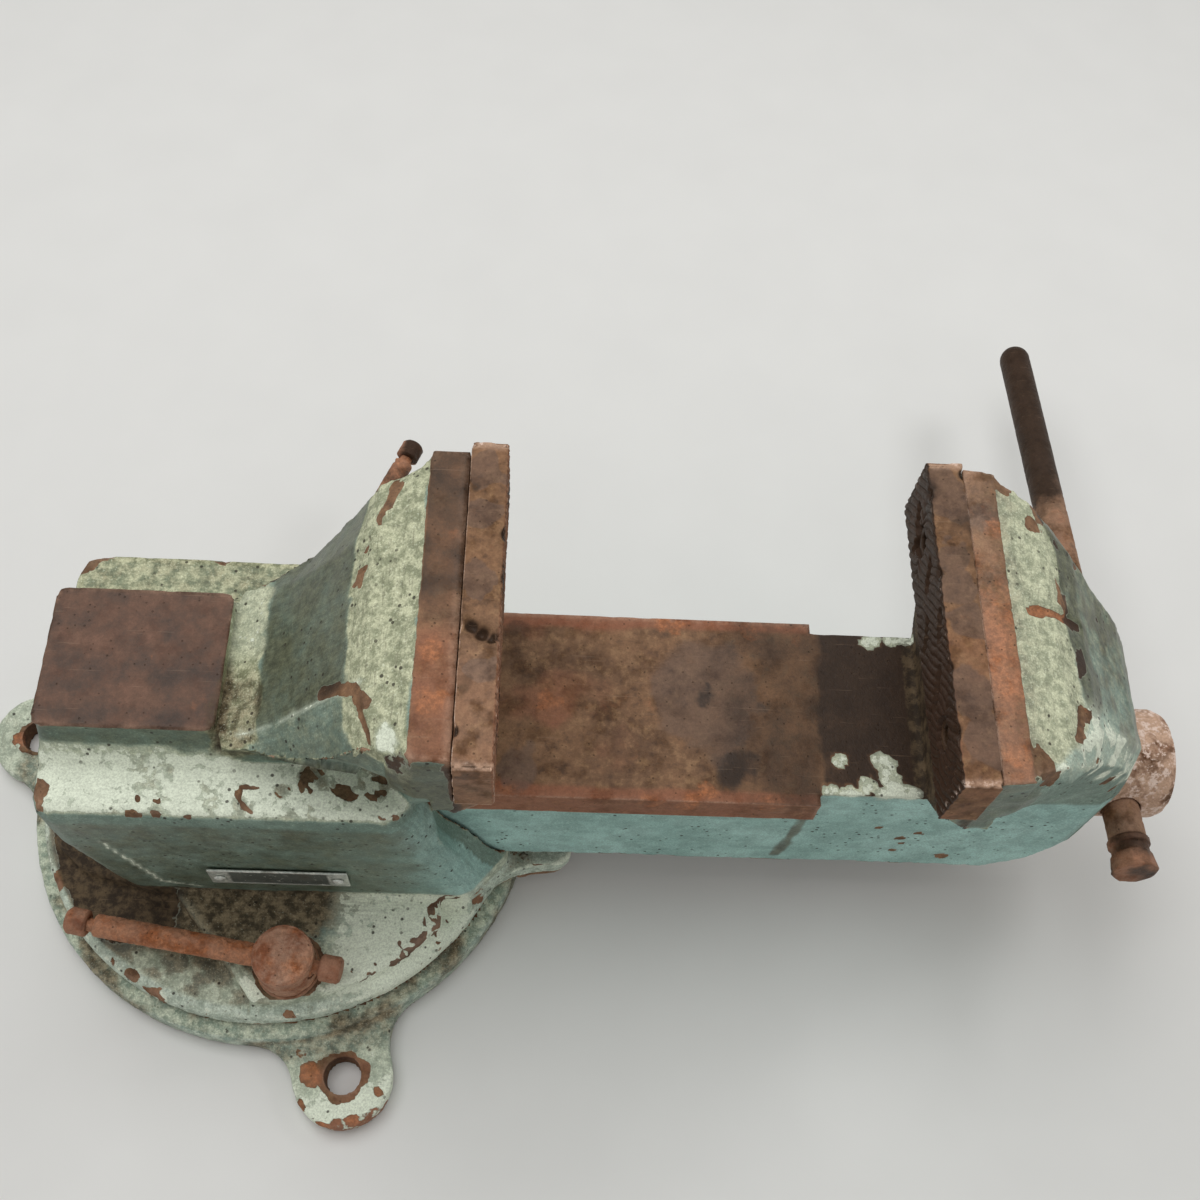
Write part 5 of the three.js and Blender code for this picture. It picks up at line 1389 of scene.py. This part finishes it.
VECTOR, VALUE, COLOR = "NodeSocketVector", "NodeSocketFloat", "NodeSocketColor"

# %% [markdown]
# ### Ragged mask
# Adds noise of three sizes to a smooth amount and cuts it off at a half, so that paint ends in
# flakes. The cells of a Voronoi texture give the flakes their scalloped outline. The rim is the thin
# line along that cut.

# %% Ragged mask group
sheet, given, give = group(
    "ragged mask", {"Vector": VECTOR, "Amount": VALUE}, {"Mask": VALUE, "Rim": VALUE})
coarse = sheet.noise(given["Vector"], 8, 3.0, 0.6)
fine = sheet.noise(given["Vector"], 1.6, 3.0, 0.65)
scallop = sheet.cells(given["Vector"], 3.6)
wander = sheet.plus(sheet.times(coarse, 0.75), sheet.times(fine, 0.22))
wander = sheet.plus(wander, sheet.times(scallop, 0.2))
level = sheet.plus(given["Amount"], sheet.minus(wander, 0.58))
band_in, band_out = sheet.ramp(level, 0.41, 0.48), sheet.ramp(level, 0.5, 0.55)
sheet.give(give, Mask=sheet.ramp(level, 0.48, 0.53), Rim=sheet.minus(band_in, band_out, True))
ragged_group = sheet.tree

# %% [markdown]
# ### Aged rust
# Brown iron with tan dust, red and orange bloom, plum-grey stains, dark oil, pits and, where hands
# and work have polished it, a lighter rubbed colour. The dark oil layer also serves as painted shade
# in dents and recesses, and small near-white glints are painted highlights. Each layer is one colour
# mixed over the last, with its own noise, in the order in which they came to lie on the metal.

# %% Aged rust group
sheet, given, give = group(
    "aged rust",
    {"Vector": VECTOR, "Orange": VALUE, "Red": VALUE, "Oil": VALUE, "Plum": VALUE, "Polish": VALUE,
     "Soil": VALUE},
    {"Color": COLOR, "Roughness": VALUE, "Height": VALUE})
place = given["Vector"]
broad = sheet.noise(place, 26, 4.0, 0.6)
mottle = sheet.noise(place, 6, 5.0, 0.7)
speckle = sheet.noise(place, 2.3, 4.0, 0.7)
grain = sheet.noise(place, 0.9, 2.0, 0.7)


def pushed(value, noise, reach, start, end, top=1.0):
    """The value moved up and down by noise, then turned into a share from 0 to `top`."""
    moved = sheet.plus(value, sheet.times(sheet.minus(noise, 0.5), reach))
    return sheet.ramp(moved, start, end, 0.0, top)


brown = sheet.tones(broad, 0.36, 0.64, (94, 66, 43), (124, 90, 61))
brown = sheet.mix(sheet.ramp(mottle, 0.48, 0.68, 0, 0.62), brown, linear(152, 118, 84))
brown = sheet.mix(sheet.ramp(mottle, 0.48, 0.32, 0, 0.7), brown, linear(64, 43, 28))
brown = sheet.mix(pushed(given["Red"], broad, 0.9, 0.1, 0.85, 0.85), brown, linear(140, 84, 58))
plum = pushed(given["Plum"], sheet.noise(place, 12, 5.0, 0.68), 1.3, 0.3, 0.75, 0.6)
brown = sheet.mix(plum, brown, linear(86, 69, 61))
orange = pushed(given["Orange"], sheet.noise(place, 8, 5.0, 0.72), 1.4, 0.36, 1.0, 0.7)
brown = sheet.mix(orange, brown, sheet.tones(speckle, 0.4, 0.62, (150, 92, 55), (182, 112, 68)))
# A lighter rubbed colour where the polish is high; on the screw's head it also stands in for its highlights.
polish = sheet.times(given["Polish"], sheet.ramp(sheet.noise(place, 13, 4.0, 0.66), 0.32, 0.56))
brown = sheet.mix(sheet.times(polish, 0.95, True), brown, linear(204, 170, 146))
# Dark oil; the same darkening is used as painted shade in dents, recess floors and sunk screw heads.
oil_stain_and_shade = pushed(given["Oil"], sheet.noise(place, 12, 5.0, 0.68), 1.1, 0.25, 0.95, 0.92)
brown = sheet.mix(oil_stain_and_shade, brown, linear(44, 30, 19))
dull = pushed(given["Soil"], mottle, 0.8, 0.2, 0.9, 0.8)
brown = sheet.mix(dull, brown, sheet.tones(mottle, 0.38, 0.64, (50, 40, 28), (106, 89, 66)))
cells = sheet.cells(place, 3.4)
pit = sheet.times(sheet.ramp(cells, 0.17, 0.08), sheet.ramp(mottle, 0.44, 0.56))
brown = sheet.mix(sheet.times(pit, 0.55), brown, linear(44, 31, 21))
brown = sheet.mix(1.0, brown, sheet.ramp(grain, 0.3, 0.7, 0.9, 1.1), "MULTIPLY")
brown = sheet.mix(1.0, brown, sheet.ramp(speckle, 0.32, 0.68, 0.9, 1.1), "MULTIPLY")
scratch = sheet.noise(sheet.stretched(place, (0.05, 1, 0.3), (0, 0, 0.5)), 1.1, 2.0, 0.5)
brown = sheet.mix(sheet.ramp(scratch, 0.67, 0.73, 0, 0.16), brown, linear(168, 140, 116))
# Painted highlights: small near-white glints, strongest where the polish value is high.
painted_glint = sheet.ramp(sheet.times(mottle, speckle), 0.245, 0.335)
painted_highlight = sheet.times(sheet.ramp(given["Polish"], 0.3, 1.0), painted_glint)
brown = sheet.mix(painted_highlight, brown, linear(232, 208, 194))
gloss = sheet.ramp(oil_stain_and_shade, 0.1, 0.8, 0.68, 0.5)
gloss = sheet.minus(gloss, sheet.times(given["Polish"], 0.18))
gloss = sheet.minus(gloss, sheet.times(plum, 0.12))
gloss = sheet.plus(gloss, sheet.times(dull, 0.3))
gloss = sheet.plus(gloss, sheet.times(grain, 0.16))
height = sheet.plus(sheet.times(mottle, 0.5), sheet.times(speckle, 0.45))
height = sheet.plus(height, sheet.times(grain, 0.25))
height = sheet.minus(height, sheet.times(pit, 0.6))
sheet.give(give, Color=brown, Roughness=gloss, Height=height)
rust_group = sheet.tree

# %% [markdown]
# ### Aged paint
# Grey-green machine enamel. It is chalky and flecked where it faces up, bluer where it is fresh,
# greenish brown under oil, brown under soil, whitish where a flake has lifted, and brushed in fine
# lines. The chalk, oil and white values also carry painted light: paler paint where a face is made
# to look lit, a darker film for painted shade, and whitish painted highlights. One group does for all
# three castings, because the values on their meshes say which is where.

# %% Aged paint group
sheet, given, give = group(
    "aged paint",
    {"Vector": VECTOR, "Chalk": VALUE, "Oil": VALUE, "Soil": VALUE, "Blue": VALUE, "White": VALUE},
    {"Color": COLOR, "Roughness": VALUE, "Height": VALUE})
place = given["Vector"]
broad = sheet.noise(place, 38, 3.0, 0.55)
mottle = sheet.noise(place, 4.6, 5.0, 0.68)
speckle = sheet.noise(place, 2.0, 4.0, 0.68)
grain = sheet.noise(place, 0.9, 2.0, 0.65)
drawn = sheet.stretched(place, (0.16, 1, 0.16))
brushed = sheet.noise(drawn, 1.5, 4.0, 0.62)
paint = sheet.tones(broad, 0.36, 0.64, (110, 132, 120), (128, 148, 136))
paint = sheet.mix(given["Blue"], paint, sheet.tones(broad, 0.4, 0.6, (148, 184, 177), (164, 200, 193)))
pale = sheet.tones(mottle, 0.38, 0.62, (134, 137, 104), (202, 203, 168))
cool = sheet.tones(mottle, 0.38, 0.62, (142, 156, 143), (202, 214, 200))
pale = sheet.mix(given["Blue"], pale, cool)
# Pale chalky paint, also used as painted light where a face is made paler to look lit.
paint = sheet.mix(pushed(given["Chalk"], mottle, 0.7, 0.12, 0.85, 0.95), paint, pale)
pore = sheet.times(sheet.ramp(speckle, 0.44, 0.34), sheet.ramp(given["Chalk"], 0.1, 0.9, 0.1, 0.6))
paint = sheet.mix(pore, paint, linear(108, 108, 84))
combed = sheet.noise(sheet.stretched(place, (1, 0.12, 1)), 1.4, 3.0, 0.6)
combed = sheet.times(sheet.ramp(combed, 0.56, 0.7, 0, 0.55), sheet.ramp(given["Chalk"], 0.6, 1.0))
combed = sheet.times(combed, sheet.minus(1.0, given["White"], True))
paint = sheet.mix(combed, paint, linear(118, 114, 88))
# A dark greenish film for oil, which also serves as painted shade on faces that turn from the light.
oil_and_shade_noise = sheet.noise(place, 15, 5.0, 0.64)
oil_film_and_shade = pushed(given["Oil"], oil_and_shade_noise, 0.9, 0.1, 0.85, 0.9)
paint = sheet.mix(oil_film_and_shade, paint, sheet.tones(mottle, 0.35, 0.65, (64, 65, 45), (96, 98, 74)))
dirt = pushed(given["Soil"], sheet.noise(place, 8, 6.0, 0.72), 1.0, 0.15, 0.8, 0.95)
earth = sheet.tones(mottle, 0.38, 0.64, (72, 60, 42), (142, 126, 99))
earth = sheet.mix(sheet.times(oil_film_and_shade, 0.85), earth, sheet.mix(
    sheet.ramp(mottle, 0.4, 0.66), linear(46, 38, 27), linear(84, 72, 54)))
paint = sheet.mix(dirt, paint, earth)
fleck = sheet.ramp(sheet.plus(grain, sheet.times(given["Chalk"], 0.06)), 0.64, 0.76, 0, 0.3)
fleck = sheet.times(fleck, sheet.minus(1.0, oil_film_and_shade))
paint = sheet.mix(fleck, paint, linear(226, 234, 216))
flake = sheet.cells(place, 3.0)
flake_noise = sheet.plus(mottle, sheet.times(sheet.minus(0.4, flake), 0.35))
# Whitens lifted paint, and also lays painted highlights along edges and creases.
paint = sheet.mix(sheet.times(given["White"], 0.7), paint, linear(216, 225, 205))
lifted = pushed(given["White"], flake_noise, 1.5, 0.6, 0.68, 0.85)
paint = sheet.mix(lifted, paint, linear(226, 233, 214))
cells = sheet.cells(place, 4.4)
where = sheet.noise(place, 18, 2.0, 0.5)
pit = sheet.times(sheet.ramp(cells, 0.22, 0.13), sheet.ramp(where, 0.48, 0.58))
paint = sheet.mix(sheet.times(pit, 0.85), paint, linear(44, 37, 28))
paint = sheet.mix(1.0, paint, sheet.ramp(grain, 0.3, 0.7, 0.84, 1.16), "MULTIPLY")
lines = sheet.ramp(brushed, 0.35, 0.65, 0.86, 1.12)
paint = sheet.mix(sheet.ramp(given["Chalk"], 0.2, 0.9, 1.0, 0.3), paint, lines, "MULTIPLY")
gloss = sheet.ramp(oil_film_and_shade, 0.0, 0.9, 0.56, 0.3)
gloss = sheet.plus(gloss, sheet.times(dirt, 0.3))
gloss = sheet.plus(gloss, sheet.times(mottle, 0.14))
height = sheet.plus(sheet.times(mottle, 0.6), sheet.times(speckle, 0.4))
height = sheet.plus(height, sheet.times(lifted, 0.5))
height = sheet.minus(height, sheet.times(combed, 0.9))
height = sheet.minus(height, sheet.times(pit, 0.8))
sheet.give(give, Color=paint, Roughness=gloss, Height=height)
paint_group = sheet.tree

# %% [markdown]
# ## Materials
# The per-point values written on the meshes reach the groups through Attribute nodes, and the
# object's own coordinates carry the noise, so every piece has one material in its own frame.

# %% Material helpers
def new_material(name):
    """An empty material, a sheet on its nodes, and the object's own coordinates."""
    made = bpy.data.materials.new(name)
    made.use_nodes = True
    made.node_tree.nodes.clear()
    sheet = Sheet(made.node_tree)
    return made, sheet, sheet.add("ShaderNodeTexCoord", out=3)


def attribute(sheet, name):
    return sheet.add("ShaderNodeAttribute", out=2, attribute_name=name)


def use(sheet, tree, **inputs):
    """A group placed in a material. Gives back all of its outputs."""
    return sheet.add("ShaderNodeGroup", inputs, node_tree=tree).node.outputs


def finished(sheet, color, roughness, height, distance, metallic=0.0, specular=0.5):
    """The shader, fed with a colour, a roughness and a height in mm that bumps the surface."""
    bump = sheet.add("ShaderNodeBump", {"Strength": 0.8, "Distance": distance * MM, "Height": height})
    shader = sheet.add("ShaderNodeBsdfPrincipled", {
        "Base Color": color, "Roughness": roughness, "Metallic": metallic,
        "Specular IOR Level": specular, "Normal": bump})
    sheet.add("ShaderNodeOutputMaterial", {"Surface": shader})
    print(f"{sheet.tree.name}: {len(sheet.tree.nodes)} nodes")


# %% [markdown]
# ### The finishes
# On the castings the ragged mask lays rust where the paint is off, a step lower and with a pale rim.
# Small iron parts are all rust, deep on the bars and shallow on the jaw plates. The nameplate is
# bright metal with a dull field, and the hidden steel is greasy.

# %% Painted casting
RUST_INPUTS = ("Orange", "Red", "Oil", "Plum", "Polish", "Soil")
PAINT_INPUTS = ("Chalk", "Oil", "Soil", "Blue", "White")


def aged(sheet, tree, place, inputs):
    """A group whose inputs come from the per-point values of the same names."""
    values = {name: attribute(sheet, name.lower()) for name in inputs}
    return use(sheet, tree, Vector=place, **values)


painted, sheet, place = new_material("painted casting")
paint = aged(sheet, paint_group, place, PAINT_INPUTS)
rust = aged(sheet, rust_group, place, RUST_INPUTS)
edge = use(sheet, ragged_group, Vector=place, Amount=attribute(sheet, "bare"))
color = sheet.mix(edge["Mask"], paint["Color"], rust["Color"])
color = sheet.mix(sheet.times(edge["Rim"], 0.3), color, linear(200, 206, 188))
roughness = sheet.blend(edge["Mask"], paint["Roughness"], rust["Roughness"])
height = sheet.blend(edge["Mask"], paint["Height"], rust["Height"])
step = sheet.times(edge["Mask"], -0.9)
finished(sheet, color, roughness, sheet.plus(height, step), 0.55, 0.0, 0.35)

# %% Rusted and worn iron
def iron(name, depth, metallic):
    """Bare iron whose rust is this many mm deep."""
    made, sheet, place = new_material(name)
    rust = aged(sheet, rust_group, place, RUST_INPUTS)
    finished(sheet, rust["Color"], rust["Roughness"], rust["Height"], depth, metallic, 0.22)
    return made


rusted = iron("rusted steel", 0.85, 0.15)
worn = iron("worn iron", 0.4, 0.1)

# %% Nameplate metal
plate_metal, sheet, place = new_material("nameplate metal")
scuff = sheet.noise(place, 2.2, 5.0, 0.7)
broad = sheet.noise(place, 14, 3.0)
bright = sheet.tones(scuff, 0.35, 0.65, (184, 190, 184), (228, 230, 222))
dull = sheet.tones(broad, 0.35, 0.7, (98, 104, 100), (124, 130, 125))
rubbed = sheet.ramp(scuff, 0.6, 0.68)
field = sheet.times(attribute(sheet, "field"), sheet.minus(1.0, rubbed))
color = sheet.mix(field, bright, dull)
color = sheet.mix(sheet.ramp(broad, 0.55, 0.75, 0, 0.5), color, linear(92, 78, 62))
finished(sheet, color, sheet.ramp(scuff, 0.3, 0.7, 0.34, 0.55), scuff, 0.15, 0.55, 0.5)

# %% Greasy steel
greasy, sheet, place = new_material("greasy steel")
smear = sheet.noise(place, 9, 4.0, 0.6)
grain = sheet.noise(place, 1.2, 3.0, 0.6)
color = sheet.tones(smear, 0.35, 0.65, (58, 48, 38), (104, 92, 80))
color = sheet.mix(sheet.ramp(grain, 0.55, 0.75, 0, 0.5), color, linear(140, 100, 70))
finished(sheet, color, sheet.ramp(smear, 0.3, 0.7, 0.28, 0.55), grain, 0.2, 0.5, 0.5)

# %% [markdown]
# ## Giving out the materials
# The new pieces take the finish of their slot, and the CAD nodes that are still shown are steel
# parts inside the vise.

# %% Give out materials
finish_of = {
    "painted_casting": painted, "worn_iron": worn, "rusted_steel": rusted, "nameplate_metal": plate_metal,
}
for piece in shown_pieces():
    finish = greasy if "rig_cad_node" in piece else finish_of[piece["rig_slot"]]
    piece.data.materials.clear()
    piece.data.materials.append(finish)
    if "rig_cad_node" in piece:
        print("CAD node shown:", piece.name)

# %% [markdown]
# ## Camera, light and floor
# The camera stands where the photograph was taken, worked out from the picture: 757 mm above the
# bench, looking 61.7 degrees down, rolled by 7.3 degrees.

# %% Camera
FOCAL_PIXELS, IMAGE_PIXELS, SENSOR = 1396.17546, 1200, 36.0
NEAREST, FARTHEST = 0.02, 40
YAW, PITCH, ROLL = 0.1006695, 1.0764923, 0.1282133
EYE = np.array([131.695534, -270.526331, 757.325503])
ahead = np.array([math.sin(YAW), math.cos(YAW), 0])
right = np.array([math.cos(YAW), -math.sin(YAW), 0])
forward = ahead * math.cos(PITCH) - np.array([0, 0, 1]) * math.sin(PITCH)
upward = np.cross(right, forward)
turned_right = right * math.cos(ROLL) + upward * math.sin(ROLL)
turned_up = -right * math.sin(ROLL) + upward * math.cos(ROLL)
camera_data = bpy.data.cameras.new("camera")
camera_data.sensor_width = SENSOR
camera_data.lens = FOCAL_PIXELS / IMAGE_PIXELS * SENSOR
camera_data.clip_start, camera_data.clip_end = NEAREST, FARTHEST
camera = bpy.data.objects.new("camera", camera_data)
bpy.context.scene.collection.objects.link(camera)
pose = np.eye(4)
pose[:3, 0], pose[:3, 1], pose[:3, 2], pose[:3, 3] = turned_right, turned_up, -forward, EYE * MM
camera.matrix_world = Matrix(pose.tolist())
bpy.context.scene.camera = camera

# %% Floor and light
FLOOR_HALF, FLOOR_Z = 9000, -0.4
floor_points = [(FLOOR_HALF * a, FLOOR_HALF * b, FLOOR_Z) for a, b in ((-1, -1), (1, -1), (1, 1), (-1, 1))]
floor = object_from("floor", floor_points, [(0, 1, 2, 3)])
pale, sheet, place = new_material("pale floor")
speckle = sheet.noise(place, 60, 2.0)
finished(sheet, sheet.mix(speckle, linear(226, 226, 224), linear(232, 232, 230)), 0.85, speckle, 0.1)
floor.data.materials.append(pale)
floor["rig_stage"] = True

world = bpy.data.worlds.new("studio")
bpy.context.scene.world = world
world.use_nodes = True
world.node_tree.nodes["Background"].inputs["Color"].default_value = (1.0, 0.99, 0.96, 1)
world.node_tree.nodes["Background"].inputs["Strength"].default_value = 0.45


def area_light(name, place, target, size, watts):
    """A square lamp at a place in metres, turned to its target."""
    data = bpy.data.lights.new(name, "AREA")
    data.shape, data.size, data.energy = "SQUARE", size, watts
    made = bpy.data.objects.new(name, data)
    bpy.context.scene.collection.objects.link(made)
    away = np.array(place, float) - np.array(target, float)
    z = away / np.linalg.norm(away)
    x = np.cross((0, 1, 0), z)
    x = x / np.linalg.norm(x)
    frame_of = np.eye(4)
    frame_of[:3, 0], frame_of[:3, 1], frame_of[:3, 2], frame_of[:3, 3] = x, np.cross(z, x), z, place
    made.matrix_world = Matrix(frame_of.tolist())
    return made


area_light("overhead", (-0.25, 0.35, 1.5), (0.15, 0, 0.1), 1.2, 11.5)
area_light("side", (1.0, 0.5, 0.9), (0.2, 0, 0.15), 0.35, 2.2)
bpy.context.scene.view_settings.view_transform = "Standard"
print("Camera at", EYE, "mm, with", len(bpy.data.lights), "lamps")

# %% Sizes and finish
shown_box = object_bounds()
growth = [(round((cad_box[0][i] - shown_box[0][i]) / MM, 2), round((shown_box[1][i] - cad_box[1][i]) / MM, 2))
          for i in range(3)]
print("Stands proud of the CAD box, mm:", growth)
